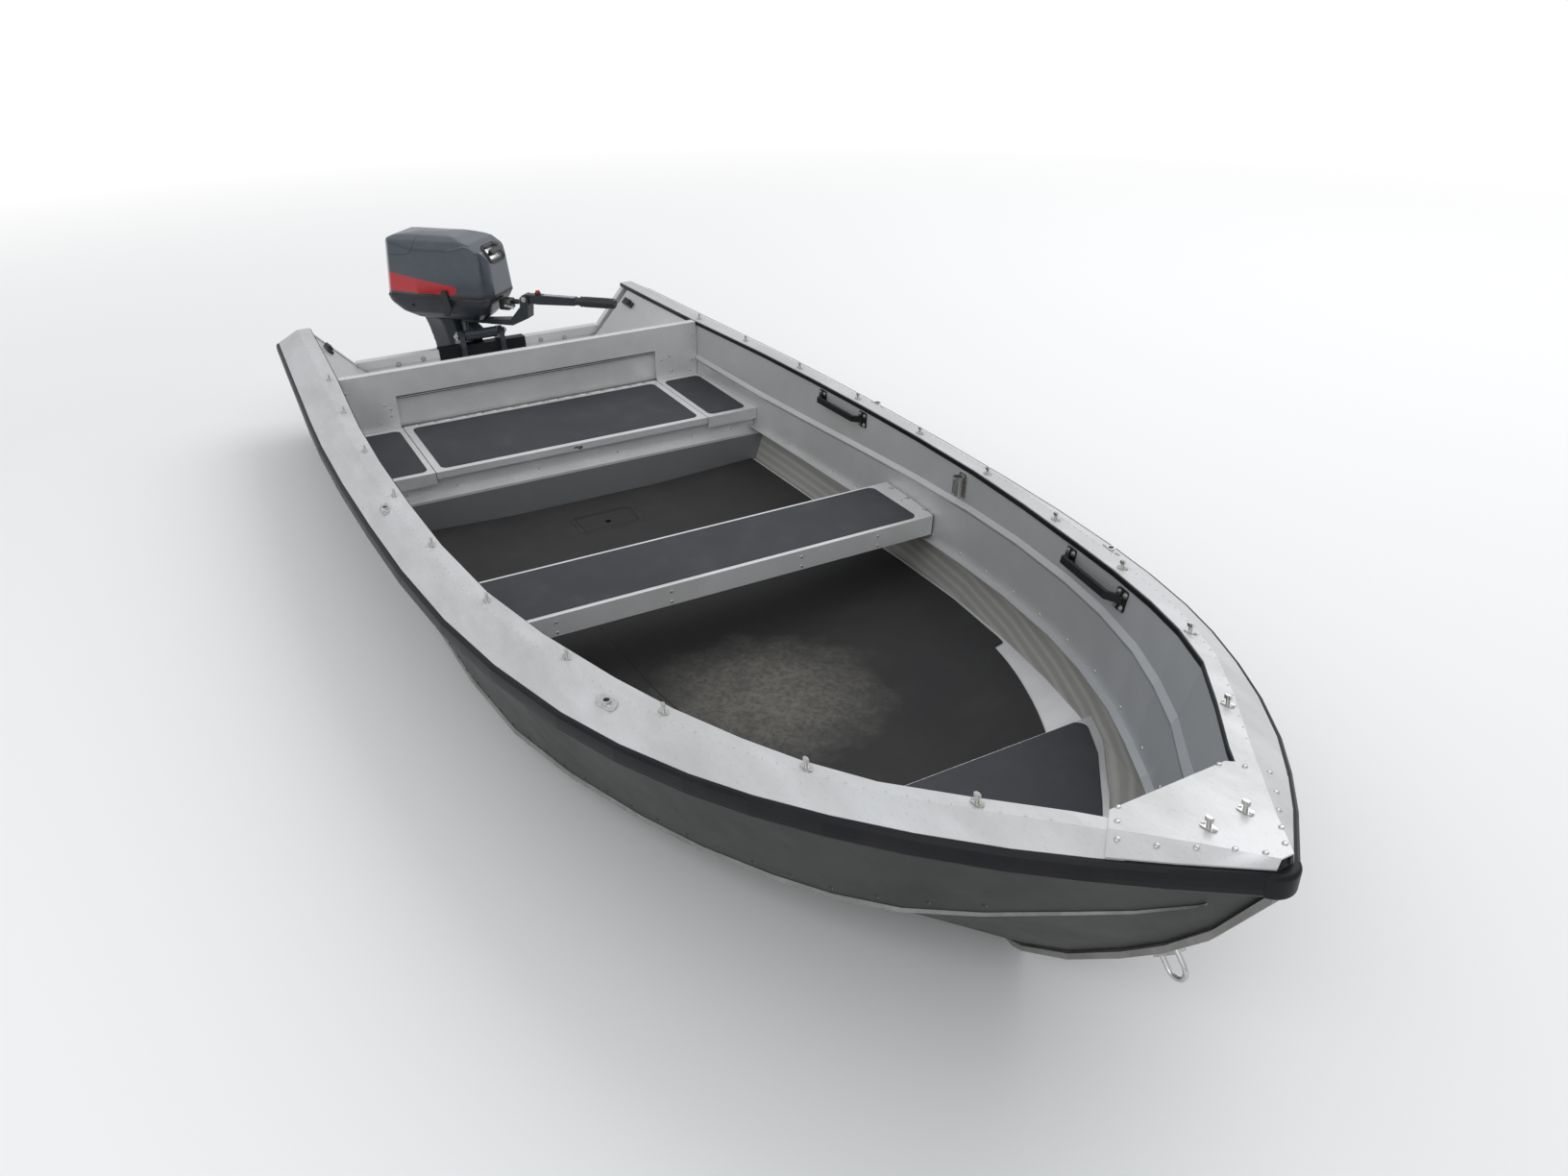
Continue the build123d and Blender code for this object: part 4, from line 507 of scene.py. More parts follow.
# Where colours change: the bench's ledge and riser, the mat's worn spot, the stripe's low edge.
# LEDGE_HEIGHT and RISER_FACE bound the shade painted on the bench's riser.
LEDGE_HEIGHT = 0.122
RISER_FACE = 1.236
WORN_SPOT = (2.76, -0.03)
STRIPE_FOOT = 0.220


def rgba(r, g, b):
    return (r, g, b, 1.0)


def finish_material(name, colour, dirt, light, metallic, roughs, clouds, specks, lights,
                    grain=0.0, bump=0.1, stretch=(1, 1, 1), coat=0.0, shine=0.5, extra=None):
    """A material on Object coordinates from the shared groups."""
    material = bpy.data.materials.new(name)
    material.use_nodes = True
    tree = material.node_tree
    shader = tree.nodes["Principled BSDF"]
    for socket, value in (
        ("Metallic", metallic), ("Coat Weight", coat), ("Specular IOR Level", shine),
        ("Coat Roughness", 0.12),
    ):
        shader.inputs[socket].default_value = value
    place = add(tree, "TexCoord").outputs["Object"]
    looks = (
        ("Vector", scaled(tree, place, stretch)), ("Colour", rgba(*colour)),
        ("Dirt colour", rgba(*dirt)), ("Light colour", rgba(*light)), ("Cloud scale", clouds[0]),
        ("Cloud amount", clouds[1]), ("Speck scale", specks[0]), ("Speck amount", specks[1]),
        ("Light amount", lights), ("Roughness low", roughs[0]), ("Roughness high", roughs[1]),
    )
    grime = add(tree, "Group", looks, node_tree=GRIME, name="Worn surface")
    colour_out = grime.outputs["Colour"]
    if extra:
        colour_out = extra(tree, place, colour_out)
    height = grime.outputs["Height"]
    if grain:
        lines = add(tree, "Group", (), node_tree=GRAIN)
        tree.links.new(place, lines.inputs["Vector"])
        height = plus(tree, height, times(tree, lines.outputs["Height"], grain))
    bumped = add(tree, "Bump", (("Strength", bump), ("Distance", 0.002), ("Height", height)))
    for socket, value in (
        ("Base Color", colour_out), ("Roughness", grime.outputs["Roughness"]),
        ("Normal", bumped.outputs[0]),
    ):
        tree.links.new(value, shader.inputs[socket])
    return material


def coordinate(tree, vector, axis):
    return add(tree, "SeparateXYZ", ((0, vector),)).outputs[axis]


def shaded(tree, colour, factor, tint):
    """A colour drawn towards a tint by a mask."""
    return mix_colour(tree, factor, colour, rgba(*tint))


def bow_shade(tree, place, colour):
    """Painted shade: the panels grow darker and bluer towards the bow."""
    share = times(tree, ramp(tree, coordinate(tree, place, 0), 2.2, 4.1), 0.75)
    return shaded(tree, colour, share, (0.30, 0.318, 0.345))


def painted_riser_shade(tree, place, colour):
    """Painted shade: the bench's riser is dark below its ledge."""
    low = below(tree, coordinate(tree, place, 2), LEDGE_HEIGHT)
    front = above(tree, coordinate(tree, place, 0), RISER_FACE)
    share = times(tree, times(tree, low, front), 0.85)
    return shaded(tree, colour, share, (0.13, 0.138, 0.142))


def bare_inside(tree, place, colour):
    """The hull's inner face is bare and taupe, its ridges painted as lit and shaded stripes; its
    outside is dark.
    """
    normal = add(tree, "TexCoord").outputs["Normal"]
    outward = times(tree, coordinate(tree, place, 1), coordinate(tree, normal, 1))
    inside = below(tree, outward, 0.0)
    # Painted light and shade: stripes of two taupes stand in for the ridges along the boat.
    ridge_light_wave = calculate(tree, "SINE", times(tree, coordinate(tree, place, 2), 230.0))
    lines = ramp(tree, ridge_light_wave, -0.3, 1.0)
    taupe = mix_colour(tree, lines, rgba(0.30, 0.293, 0.278), rgba(0.38, 0.372, 0.354))
    return mix_colour(tree, inside, colour, taupe)


def dusty_front(tree, place, colour):
    """Pale dust on the mat, most of it in a worn patch ahead of the thwart."""
    x = minus(tree, coordinate(tree, place, 0), WORN_SPOT[0])
    y = minus(tree, coordinate(tree, place, 1), WORN_SPOT[1])
    away = plus(tree, times(tree, x, x), times(tree, y, y))
    ragged = times(tree, noise(tree, place, 9.0, 6.0, 0.7), 0.16)
    patch = minus(tree, 1.0, ramp(tree, plus(tree, away, ragged), 0.07, 0.20))
    fine = ramp(tree, noise(tree, place, 60.0, 5.0, 0.75), 0.40, 0.62)
    patch = times(tree, patch, plus(tree, times(tree, fine, 0.5), 0.4))
    return shaded(tree, colour, patch, (0.165, 0.158, 0.14))


def build_motor_frame():
    """How far a point is ahead of the motor's steering axis and over its origin."""
    tree, entry, exit_ = new_group(
        "Motor frame", [("Vector", "NodeSocketVector", (0, 0, 0))],
        [("Ahead", "NodeSocketFloat"), ("Height", "NodeSocketFloat")],
    )
    x, y, z = (coordinate(tree, entry.outputs[0], axis) for axis in range(3))
    total = plus(tree, minus(tree, x, MOTOR_ORIGIN.x), y)
    tree.links.new(times(tree, total, HALF_ROOT), exit_.inputs["Ahead"])
    tree.links.new(minus(tree, z, MOTOR_ORIGIN.z), exit_.inputs["Height"])
    return tree


MOTOR_FRAME = build_motor_frame()


def cowl_marks(tree, place, colour):
    """The cowling's stripe, its dark foot and the line of its joint."""
    motor_frame = add(tree, "Group", (), node_tree=MOTOR_FRAME)
    tree.links.new(place, motor_frame.inputs[0])
    a, h = motor_frame.outputs["Ahead"], motor_frame.outputs["Height"]
    top = plus(tree, times(tree, minus(tree, 0.022, a), 0.137), 0.256)
    bulge = calculate(tree, "POWER", minus(tree, h, 0.238), 2.0)
    front = minus(tree, 0.031, times(tree, bulge, 27.0))
    band = times(tree, above(tree, h, STRIPE_FOOT), below(tree, h, top))
    band = times(tree, band, below(tree, a, front))
    colour = shaded(tree, colour, band, tuple(bpy.context.scene.boat_colours.stripe))
    foot = times(tree, below(tree, h, STRIPE_FOOT), 0.8)
    colour = shaded(tree, colour, foot, (0.03, 0.033, 0.038))
    u, v = minus(tree, -0.147, a), minus(tree, h, 0.3695)
    away = calculate(tree, "ABSOLUTE", minus(tree, times(tree, u, v), 0.0005))
    size = calculate(tree, "SQRT", plus(tree, times(tree, u, u), times(tree, v, v)))
    near = below(tree, calculate(tree, "DIVIDE", away, size), 0.0017)
    line = times(tree, near, above(tree, v, 0.0))
    return shaded(tree, colour, line, (0.008, 0.009, 0.011))


# The finishes. Each has a label, its colour or the name of a colour property, the colours of dirt
# and of light wear, how metallic it is, its low and high roughness, the scale and amount of its
# clouds and of its specks, the amount of light wear, and its options.
FINISHES = {
    "bright": (
        "Bare aluminium", "metal", (0.40, 0.38, 0.345), (0.80, 0.81, 0.82),
        0.35, (0.36, 0.52), (3.2, 0.35), (260.0, 0.2), 0.5,
        dict(grain=0.5, bump=0.08),
    ),
    # The bench's aluminium, with shade painted on its riser below the ledge.
    "bench": (
        "Bench aluminium", "metal", (0.40, 0.38, 0.345), (0.80, 0.81, 0.82),
        0.35, (0.36, 0.52), (3.2, 0.35), (260.0, 0.2), 0.5,
        dict(grain=0.5, bump=0.08, extra=painted_riser_shade),
    ),
    "deck": (
        "Gunwale aluminium", (0.60, 0.605, 0.61), (0.34, 0.32, 0.29), (0.70, 0.71, 0.72),
        0.35, (0.34, 0.55), (7.0, 0.45), (240.0, 0.28), 0.5,
        dict(grain=0.5, bump=0.09, stretch=(0.35, 1, 1)),
    ),
    # The inner panels, with shade painted towards the bow.
    "liner": (
        "Inner panel aluminium", (0.56, 0.563, 0.56), (0.40, 0.385, 0.355), (0.66, 0.665, 0.67),
        0.35, (0.38, 0.52), (2.2, 0.3), (240.0, 0.2), 0.45,
        dict(grain=0.4, bump=0.07, extra=bow_shade),
    ),
    "hull": (
        "Hull aluminium", (0.055, 0.057, 0.055), (0.028, 0.029, 0.027), (0.092, 0.094, 0.09),
        0.15, (0.52, 0.75), (5.0, 0.4), (520.0, 0.75), 0.3,
        dict(bump=0.14, shine=0.3, extra=bare_inside),
    ),
    "rail": (
        "Worn rails", (0.26, 0.26, 0.25), (0.11, 0.105, 0.095), (0.40, 0.40, 0.39),
        0.35, (0.45, 0.7), (12.0, 0.5), (420.0, 0.5), 0.4,
        dict(bump=0.14),
    ),
    "rubber": (
        "Fender rubber", (0.009, 0.0095, 0.012), (0.03, 0.028, 0.026), (0.016, 0.017, 0.02),
        0.0, (0.38, 0.55), (9.0, 0.3), (300.0, 0.2), 0.4,
        dict(bump=0.05, shine=0.15),
    ),
    "pad": (
        "Anti-slip pad", (0.052, 0.055, 0.060), (0.035, 0.036, 0.038), (0.09, 0.093, 0.098),
        0.0, (0.75, 0.95), (4.0, 0.35), (900.0, 0.6), 0.4,
        dict(bump=0.35, shine=0.2),
    ),
    "mat": (
        "Floor covering", (0.030, 0.030, 0.031), (0.055, 0.051, 0.046), (0.062, 0.061, 0.059),
        0.0, (0.7, 0.92), (2.6, 0.3), (700.0, 0.5), 0.3,
        dict(bump=0.3, shine=0.2, extra=dusty_front),
    ),
    "steel": (
        "Stainless steel", (0.6, 0.6, 0.59), (0.25, 0.2, 0.15), (0.75, 0.75, 0.75),
        0.9, (0.22, 0.4), (60.0, 0.35), (800.0, 0.25), 0.4,
        dict(bump=0.05),
    ),
    "black": (
        "Black plastic", (0.02, 0.02, 0.022), (0.05, 0.048, 0.045), (0.035, 0.035, 0.037),
        0.0, (0.38, 0.6), (14.0, 0.25), (600.0, 0.3), 0.3,
        dict(bump=0.12),
    ),
    # Dark joints and slots, and also the painted shadow under the bulkhead's beam.
    "gap": (
        "Dark gap", (0.012, 0.012, 0.012), (0.02, 0.02, 0.018), (0.02, 0.02, 0.02),
        0.0, (0.8, 0.95), (20.0, 0.3), (600.0, 0.3), 0.2,
        dict(bump=0.05),
    ),
    "red": (
        "Red plastic", (0.48, 0.02, 0.018), (0.2, 0.03, 0.025), (0.6, 0.06, 0.05),
        0.0, (0.35, 0.5), (40.0, 0.3), (600.0, 0.2), 0.3,
        dict(bump=0.04),
    ),
    "motor": (
        "Motor paint", "motor", (0.03, 0.035, 0.04), (0.09, 0.115, 0.15),
        0.3, (0.22, 0.34), (7.0, 0.2), (900.0, 0.15), 0.3,
        dict(bump=0.02, coat=0.6),
    ),
    "cowl": (
        "Cowling paint", "motor", (0.035, 0.04, 0.05), (0.09, 0.115, 0.15),
        0.3, (0.2, 0.34), (7.0, 0.2), (900.0, 0.15), 0.3,
        dict(bump=0.015, coat=0.7, extra=cowl_marks),
    ),
    "cast": (
        "Painted castings", (0.028, 0.033, 0.042), (0.018, 0.019, 0.021), (0.055, 0.063, 0.075),
        0.2, (0.3, 0.48), (16.0, 0.35), (700.0, 0.35), 0.4,
        dict(bump=0.08),
    ),
}

MATERIALS = {}


def dress(node_name, material):
    """Puts one material on a CAD node."""
    obj = NODES[node_name]
    obj.data.materials.clear()
    obj.data.materials.append(MATERIALS[material])


def coat(obj, material, body, slot):
    """Gives a piece its material and its body; its slot is not used."""
    obj.data.materials.clear()
    obj.data.materials.append(MATERIALS[material])
    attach(obj, body)
    return obj


def fasten(pattern, places, name, slot="fitting", body="boat"):
    """One steel pattern copied to each place, as one piece."""
    return coat(placed_copies(pattern, places, name), "steel", body, slot)


# The CAD nodes that each finish goes on.
SLOTS = {
    "bright": (
        "bulkhead", "bench_lid", "mid_thwart", "thwart_brackets", "bow_seat", "floor_plate",
        "transom", "transom_cap", "back_panel",
    ),
    "bench": ("bench_frame",),
    "rail": ("stem_and_keel", "chine_rails"),
    "deck": ("gunwales", "bow_plate"),
    "liner": ("side_panels", "splash_well"),
    "hull": ("hull_bottom", "hull_sides"),
    "rubber": ("fender", "gunwale_edging", "transom_pad"),
    "pad": ("seat_pads", "bench_lid_pad"),
    "mat": ("floor_mat", "floor_hatch"),
    "steel": ("turn_buttons", "rowlock_sockets", "tube_holder", "bow_eye", "clamp_screws"),
    "black": ("quarter_cleats", "grab_handles", "starter_handle", "shift_lever", "tiller_grip"),
    "motor": ("cowling", "lower_cowl", "leg", "gearcase", "propeller", "engine_block"),
    "cast": ("clamp_bracket", "swivel_bracket", "steering_bracket", "tiller_arm"),
}


class BoatSizes(PropertyGroup):
    """Sizes that a user may change."""

    rivet_radius: FloatProperty(
        name="Rivet radius", description="Radius of a rivet's head", default=0.0048, unit="LENGTH"
    )
    rivet_pitch: FloatProperty(
        name="Rivet pitch", description="Distance between rivets along a seam", default=0.085,
        unit="LENGTH",
    )


class BoatColours(PropertyGroup):
    """Colours that a user may change."""

    metal: FloatVectorProperty(
        name="Bare metal", description="Colour of the bare aluminium", subtype="COLOR",
        size=3, min=0.0, max=1.0, default=(0.70, 0.705, 0.71),
    )
    motor: FloatVectorProperty(
        name="Motor", description="Colour of the motor's paint", subtype="COLOR",
        size=3, min=0.0, max=1.0, default=(0.05, 0.06, 0.08),
    )
    stripe: FloatVectorProperty(
        name="Stripe", description="Colour of the stripe on the cowling", subtype="COLOR",
        size=3, min=0.0, max=1.0, default=(0.45, 0.012, 0.018),
    )


class BOAT_OT_materials(Operator):
    """Makes the metals, rubbers and paints and puts them on the CAD nodes."""

    bl_idname = "boat.materials"
    bl_label = "Materials"

    def execute(self, context):
        for key, (label, colour, *looks, options) in FINISHES.items():
            if isinstance(colour, str):
                colour = tuple(getattr(context.scene.boat_colours, colour))
            MATERIALS[key] = finish_material(label, colour, *looks, **options)
        for material, names in SLOTS.items():
            for name in names:
                dress(name, material)
        return {"FINISHED"}


class BOAT_OT_motor(Operator):
    """Adds the motor's rounded skins, its trim, starter recess, switches and bolts."""

    bl_idname = "boat.motor"
    bl_label = "Motor details"

    def execute(self, context):
        cowl = skin("cowling", 0.0055, 6)
        coat(cowl, "cowl", "motor", "motor")
        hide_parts("cowling")
        pan = skin("lower_cowl", 0.0055, 8)
        coat(pan, "cast", "motor", "motor")
        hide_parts("lower_cowl")
        leg = skin("leg", 0.005, 8)
        coat(leg, "cast", "motor", "motor")
        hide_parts("leg")
        self.band(cowl)
        self.recess(cowl)
        self.linkage()
        self.tiller()
        self.bolts(pan)
        return {"FINISHED"}

    def band(self, cowl):
        """The rubber seal between cowling and pan."""
        line = []
        for c, s in circle(96):
            out = AHEAD * c + STARBOARD * s
            point, normal = hit(cowl, motor_point(COWL_MIDDLE, 0, 0.216) + out * 0.5, -out)
            normal.z = 0.0
            line.append((point - UP * 0.0115, normal.normalized()))
        seal = strip("cowl_seal", line, 0.010, 0.0012, 0.008, closed=True)
        coat(seal, "black", "motor", "black")

    def recess(self, cowl):
        """The frame and plate round the starter's handle."""
        port = -STARBOARD
        rise = STARTER_FACE.cross(port)
        middle = motor_point(STARTER_SPOT[0], 0, STARTER_SPOT[1])
        line = []
        for x, y in round_corners(*STARTER_HALF, 0.42, 96):
            start = middle + port * x + rise * y + STARTER_FACE * 0.1
            line.append(hit(cowl, start, -STARTER_FACE))
        ring = strip("starter_frame", line, 0.015, 0.004, 0.006, closed=True)
        coat(ring, "black", "motor", "black")
        plate = rounded(block((0.090, 0.050, 0.003)), 0.001)
        plate.data.transform(facing(middle - STARTER_FACE * 0.0145, STARTER_FACE, port))
        plate.name = "starter_plate"
        coat(plate, "steel", "motor", "bright")
        low = middle - STARTER_FACE * 0.013
        heads = [facing(low + port * x, STARTER_FACE, port) for x in (-0.040, 0.040)]
        fasten(screw(0.0025), heads, "starter_screws", body="motor")

    def linkage(self):
        """The throttle drum, its arm and the choke knob ahead of the pan."""
        along = (0, 0, EIGHTH)
        drum_turn = (math.pi / 2, 0, EIGHTH)
        body = block((0.050, 0.060, 0.044), motor_point(0.190, 0, 0.158), along)
        drum = cylinder(0.020, 0.016, motor_point(0.204, 0.034, 0.160), drum_turn)
        cap = cylinder(0.011, 0.030, motor_point(0.226, -0.012, 0.166), ACROSS_MOTOR)
        parts = [rounded(body, 0.006, 3), rounded(drum, 0.002), rounded(cap, 0.002)]
        coat(joined(parts, "linkage_body"), "black", "motor", "black")
        arm = block((0.046, 0.003, 0.010), motor_point(0.222, 0.0435, 0.158), (0, 0.25, EIGHTH))
        pin = rivet(0.0052)
        pin.data.transform(facing(motor_point(0.204, 0.0452, 0.160), STARBOARD, AHEAD))
        rod = cylinder(0.0028, 0.062, motor_point(0.245, -0.012, 0.166), ACROSS_MOTOR, 12)
        knob = cylinder(0.009, 0.010, motor_point(0.280, -0.012, 0.166), ACROSS_MOTOR)
        parts = [rounded(arm, 0.001), pin, rod, rounded(knob, 0.002)]
        coat(joined(parts, "linkage_rods"), "steel", "motor", "fitting")

    def tiller(self):
        """The stop switch, a painted highlight along the tiller's top, and the grip's ribs."""
        base = rounded(cylinder(0.0125, 0.012, motor_point(SWITCH_AHEAD, 0, 0.2105)), 0.0015)
        coat(base, "black", "tiller", "black")
        base.name = "stop_switch_base"
        button = rounded(cylinder(0.0095, 0.010, motor_point(SWITCH_AHEAD, 0, 0.219)), 0.002)
        button.name = "stop_switch"
        coat(button, "red", "tiller", "fitting")
        # A steel strip along the tiller arm's top: a painted highlight.
        line = [
            hit("tiller_arm", motor_point(a, 0, 0.3), (0, 0, -1)) for a in shares(0.372, 0.516, 10)
        ]
        coat(strip("tiller_top", line, 0.022, 0.0012), "steel", "tiller", "bright")
        ribs = []
        for c, s in circle(18):
            out = STARBOARD * c + UP * s
            ribs.append(facing(motor_point(0.620, 0, GRIP_HEIGHT) + out * 0.0208, out, AHEAD))
        bar = rounded(block((0.118, 0.0034, 0.0026)), 0.0008)
        coat(placed_copies(bar, ribs, "grip_ribs"), "black", "tiller", "black")
        ends = [motor_point(a, 0, GRIP_HEIGHT) for a in (0.549, 0.689)]
        rings = [rounded(cylinder(0.0225, 0.005, end, ACROSS_MOTOR, 32), 0.001) for end in ends]
        coat(joined(rings, "grip_rings"), "black", "tiller", "black")
        pins = [
            facing(motor_point(0.286, 0.027 * s, GRIP_HEIGHT), STARBOARD * s, AHEAD)
            for s in (1, -1)
        ]
        fasten(bolt(0.0065), pins, "tiller_pivot_bolts", body="motor")

    def bolts(self, pan):
        """The clamp's and the gearcase's fasteners, the cowling's latch and the water outlet."""
        nuts = [facing(Vector((0.050137, s * 0.104, 0.318)), (0, s, 0)) for s in (1, -1)]
        fasten(bolt(0.0085), nuts, "tilt_tube_nuts")
        places = []
        for s in (1, -1):
            starts = [(x, s * 0.2, z) for x, z in ((-0.005, 0.305), (0.012, 0.13), (0.018, 0.085))]
            places += spots("clamp_bracket", starts, (0, -s, 0))
        fasten(bolt(0.0058), places, "clamp_bolts")
        places = []
        for s in (1, -1):
            spread = ((-0.15, -0.44), (-0.05, -0.45), (-0.10, -0.52))
            starts = [motor_point(a, 0.3 * s, h) for a, h in spread]
            places += spots("gearcase", starts, STARBOARD * -s, AHEAD)
        fasten(screw(0.006), places, "gearcase_screws", body="motor")
        latch = block((0.016, 0.052, 0.034), motor_point(-0.334, 0, 0.186), (0, 0, EIGHTH))
        latch = rounded(latch, 0.004, 3)
        latch.name = "cowl_latch"
        coat(latch, "black", "motor", "black")
        outlet, normal = hit(pan, motor_point(-0.20, 0.3, 0.16), -STARBOARD)
        spout = rounded(cylinder(0.0055, 0.014), 0.0012)
        spout.data.transform(facing(outlet, normal, AHEAD))
        spout.name = "cooling_outlet"
        coat(spout, "black", "motor", "black")


class BOAT_OT_gunwales(Operator):
    """Adds the rivets, screws and dotted seams on the gunwales and the bow plate."""

    bl_idname = "boat.gunwales"
    bl_label = "Gunwale rivets"
    BOW_RIVETS = (
        (4.094, 0.108), (4.122, 0.136), (4.150, 0.162), (4.194, 0.126), (4.232, 0.086),
        (4.268, 0.048), (4.298, 0.020),
    )

    def execute(self, context):
        sizes = context.scene.boat_sizes
        dots, screws, heads = [], [], []
        for side in (1, -1):
            for x in shares(0.03, 4.06, 135):
                if abs(x - ROWLOCKS[1][0]) > 0.02:
                    dots.append(deck_place(x, across(GUNWALE, x, CREASE) - 0.004, side))
            for x, y in ROWLOCKS:
                run = (across(GUNWALE, x + 0.02, 1.0) - across(GUNWALE, x - 0.02, 1.0)) / 0.04
                starts = [(x + step, side * (y + run * step), 1.0) for step in (-0.025, 0.025)]
                screws += spots("rowlock_sockets", starts, (0, 0, -1))
            starts = [(x, side * y, 1.0) for x, y in self.BOW_RIVETS]
            heads += spots("bow_plate", starts, (0, 0, -1))
        screws += self.stud_screws()
        fasten(rivet(0.0021), dots, "gunwale_seam_dots", "bright")
        fasten(screw(0.0034), screws, "gunwale_screws")
        fasten(rivet(sizes.rivet_radius), heads, "bow_plate_rivets", "bright")
        return {"FINISHED"}

    def stud_screws(self):
        """Two screws in the foot of each stud."""
        groups = {}
        for vertex in NODES["turn_buttons"].data.vertices:
            groups.setdefault((round(vertex.co.x / 0.2), vertex.co.y > 0), []).append(vertex.co)
        places = []
        for points in groups.values():
            low = min(p.z for p in points)
            foot = [p for p in points if p.z < low + 0.012]
            middle = sum(foot, Vector()) / len(foot)
            for step in (-0.0112, 0.0112):
                start = middle + Vector((step, 0, 0.02))
                ok, point, normal, _ = NODES["turn_buttons"].ray_cast(start, Vector((0, 0, -1)))
                if ok and point.z < low + 0.012:
                    places.append(seat(point, normal, (0, 0, -1)))
        return places


class BOAT_OT_panels(Operator):
    """Adds the handle bolts, the tube's screws and the rivets along the inner panels."""

    bl_idname = "boat.panels"
    bl_label = "Panel rivets"

    def execute(self, context):
        bolts, rivets, screws = [], [], []
        for side in (1, -1):
            for middle, yaw, climb in (
                ((1.870, 0.730, 0.4088), 0.012, 0.018), ((3.312, 0.548, 0.479), 0.312, 0.098),
            ):
                run = Vector((math.cos(yaw), -side * math.sin(yaw), climb))
                out = Vector((math.sin(yaw), side * math.cos(yaw), 0))
                centre = Vector((middle[0], side * middle[1], middle[2])) - out * 0.12
                starts = [
                    centre + run * (foot + step) + UP * rise
                    for foot in (-0.132, 0.132)
                    for rise in (0.016, -0.016)
                    for step in (-0.014, 0.014)
                ]
                bolts += spots(("grab_handles", "side_panels"), starts, out)
            starts = [(x, 0.0, across(PANEL_RISE, x, 0.0) + 0.016) for x in shares(1.36, 3.90, 17)]
            rivets += spots("side_panels", starts, (0, side, 0))
        screws += spots("tube_holder", [(2.600, 0.4, z) for z in (0.388, 0.436)], (0, 1, 0))
        fasten(bolt(SMALL_BOLT), bolts, "handle_bolts")
        fasten(rivet(SMALL_RIVET), rivets, "panel_foot_rivets", "bright")
        fasten(rivet(0.0026), screws, "tube_screws")
        return {"FINISHED"}


class BOAT_OT_stern(Operator):
    """Adds the bulkhead's rivets and the painted shadow in its slot, the lid's hinge and lock, and
    the transom's bolts.
    """

    bl_idname = "boat.stern"
    bl_label = "Stern details"
    WALL_RIVETS = (
        (-0.566, 0.319), (-0.690, 0.385), (-0.545, 0.300), (-0.548, 0.275), (0.580, 0.315),
        (0.690, 0.385), (0.680, 0.283), (0.672, 0.240), (0.545, 0.304), (0.589, 0.253),
        (-0.680, 0.283), (-0.672, 0.240), (-0.589, 0.253),
    )
    CAP_BOLTS = (
        (0.371, 0.244), (-0.368, 0.244), (0.412, 0.204), (-0.412, 0.204), (0.262, 0.250),
        (-0.262, 0.250),
    )

    def execute(self, context):
        sizes = context.scene.boat_sizes
        walls = ("bulkhead", "side_panels", "gunwales", "back_panel")
        starts = [(1.2, y, z) for y, z in self.WALL_RIVETS]
        rivets = spots(walls, starts, (-1, 0, 0), (0, 1, 0))
        fasten(rivet(SMALL_RIVET), rivets, "bulkhead_rivets", "bright")
        # A dark strip on the back panel under the bulkhead's beam: a painted shadow in the slot.
        line = []
        for y in shares(-0.515, 0.515, 12):
            point, _ = hit(walls, (1.2, y, 0.3330), (-1, 0, 0))
            line.append((point, Vector((1, 0, 0))))
        coat(strip("bulkhead_slot", line, 0.009, 0.0006), "gap", "boat", "black")
        knuckles = [Matrix.Translation((0.7705, y, 0.2215)) for y in shares(-0.485, 0.485, 17)]
        knuckle = cylinder(0.0036, 0.052, turn=(math.pi / 2, 0, 0), sides=14)
        fasten(rounded(knuckle, 0.0006), knuckles, "lid_hinge", "bright")
        self.lock()
        starts = [(0.5, y, z) for y, z in self.CAP_BOLTS]
        cap = ("transom", "transom_cap", "splash_well")
        bolts = spots(cap, starts, (-1, 0, 0), (0, 1, 0))
        fasten(bolt(0.0062), bolts, "transom_bolts")
        rivets = []
        for side in (1, -1):
            starts = [(-0.5, side * 0.66, z) for z in shares(0.05, 0.36, 7)]
            rivets += spots("transom", starts, (1, 0, 0), (0, 1, 0))
            starts = [(-0.5, side * y, 0.255) for y in shares(0.26, 0.50, 4)]
            rivets += spots(("transom_cap", "transom"), starts, (1, 0, 0), (0, 1, 0))
        fasten(rivet(sizes.rivet_radius), rivets, "transom_rivets", "bright")
        self.buckles()
        self.drain()
        return {"FINISHED"}

    def lock(self):
        """The round lock in the lid's front flange."""
        point, _ = hit("bench_lid", (1.4, 0.004, 0.209), (-1, 0, 0))
        face = rounded(cylinder(0.0085, 0.004, sides=28), 0.0008)
        slot = block((0.009, 0.0016, 0.0012), at=(0, 0, 0.0022))
        lock = joined([face, slot], "lid_lock")
        lock.data.transform(facing(point, (1, 0, 0), (0, 0, 1)))
        coat(lock, "steel", "lid", "fitting")

    def buckles(self):
        """A small buckle on each quarter's plate."""
        starts = [(0.170, side * 0.646, 1.0) for side in (1, -1)]
        places = spots("quarter_cleats", starts, (0, 0, -1))
        base = block((0.066, 0.022, 0.006), at=(0, 0, 0.002))
        bars = [block((0.050, 0.005, 0.006), at=(0, y, 0.007)) for y in (-0.008, 0.0, 0.008)]
        ends = [block((0.006, 0.022, 0.006), at=(x, 0, 0.007)) for x in (-0.024, 0.024)]
        buckle = rounded(joined([base] + bars + ends, "buckle"), 0.0008)
        coat(placed_copies(buckle, places, "strap_buckles"), "black", "boat", "fitting")

    def drain(self):
        """The drain plug low on the transom's outer face."""
        places = spots("transom", [(-0.5, -0.30, 0.02)], (1, 0, 0), (0, 1, 0))
        flange = rounded(cylinder(0.021, 0.006, sides=28), 0.001)
        head = rounded(cylinder(0.012, 0.016, at=(0, 0, 0.006), sides=6), 0.001)
        plug = joined([flange, head], "plug")
        fasten(plug, places, "drain_plug")


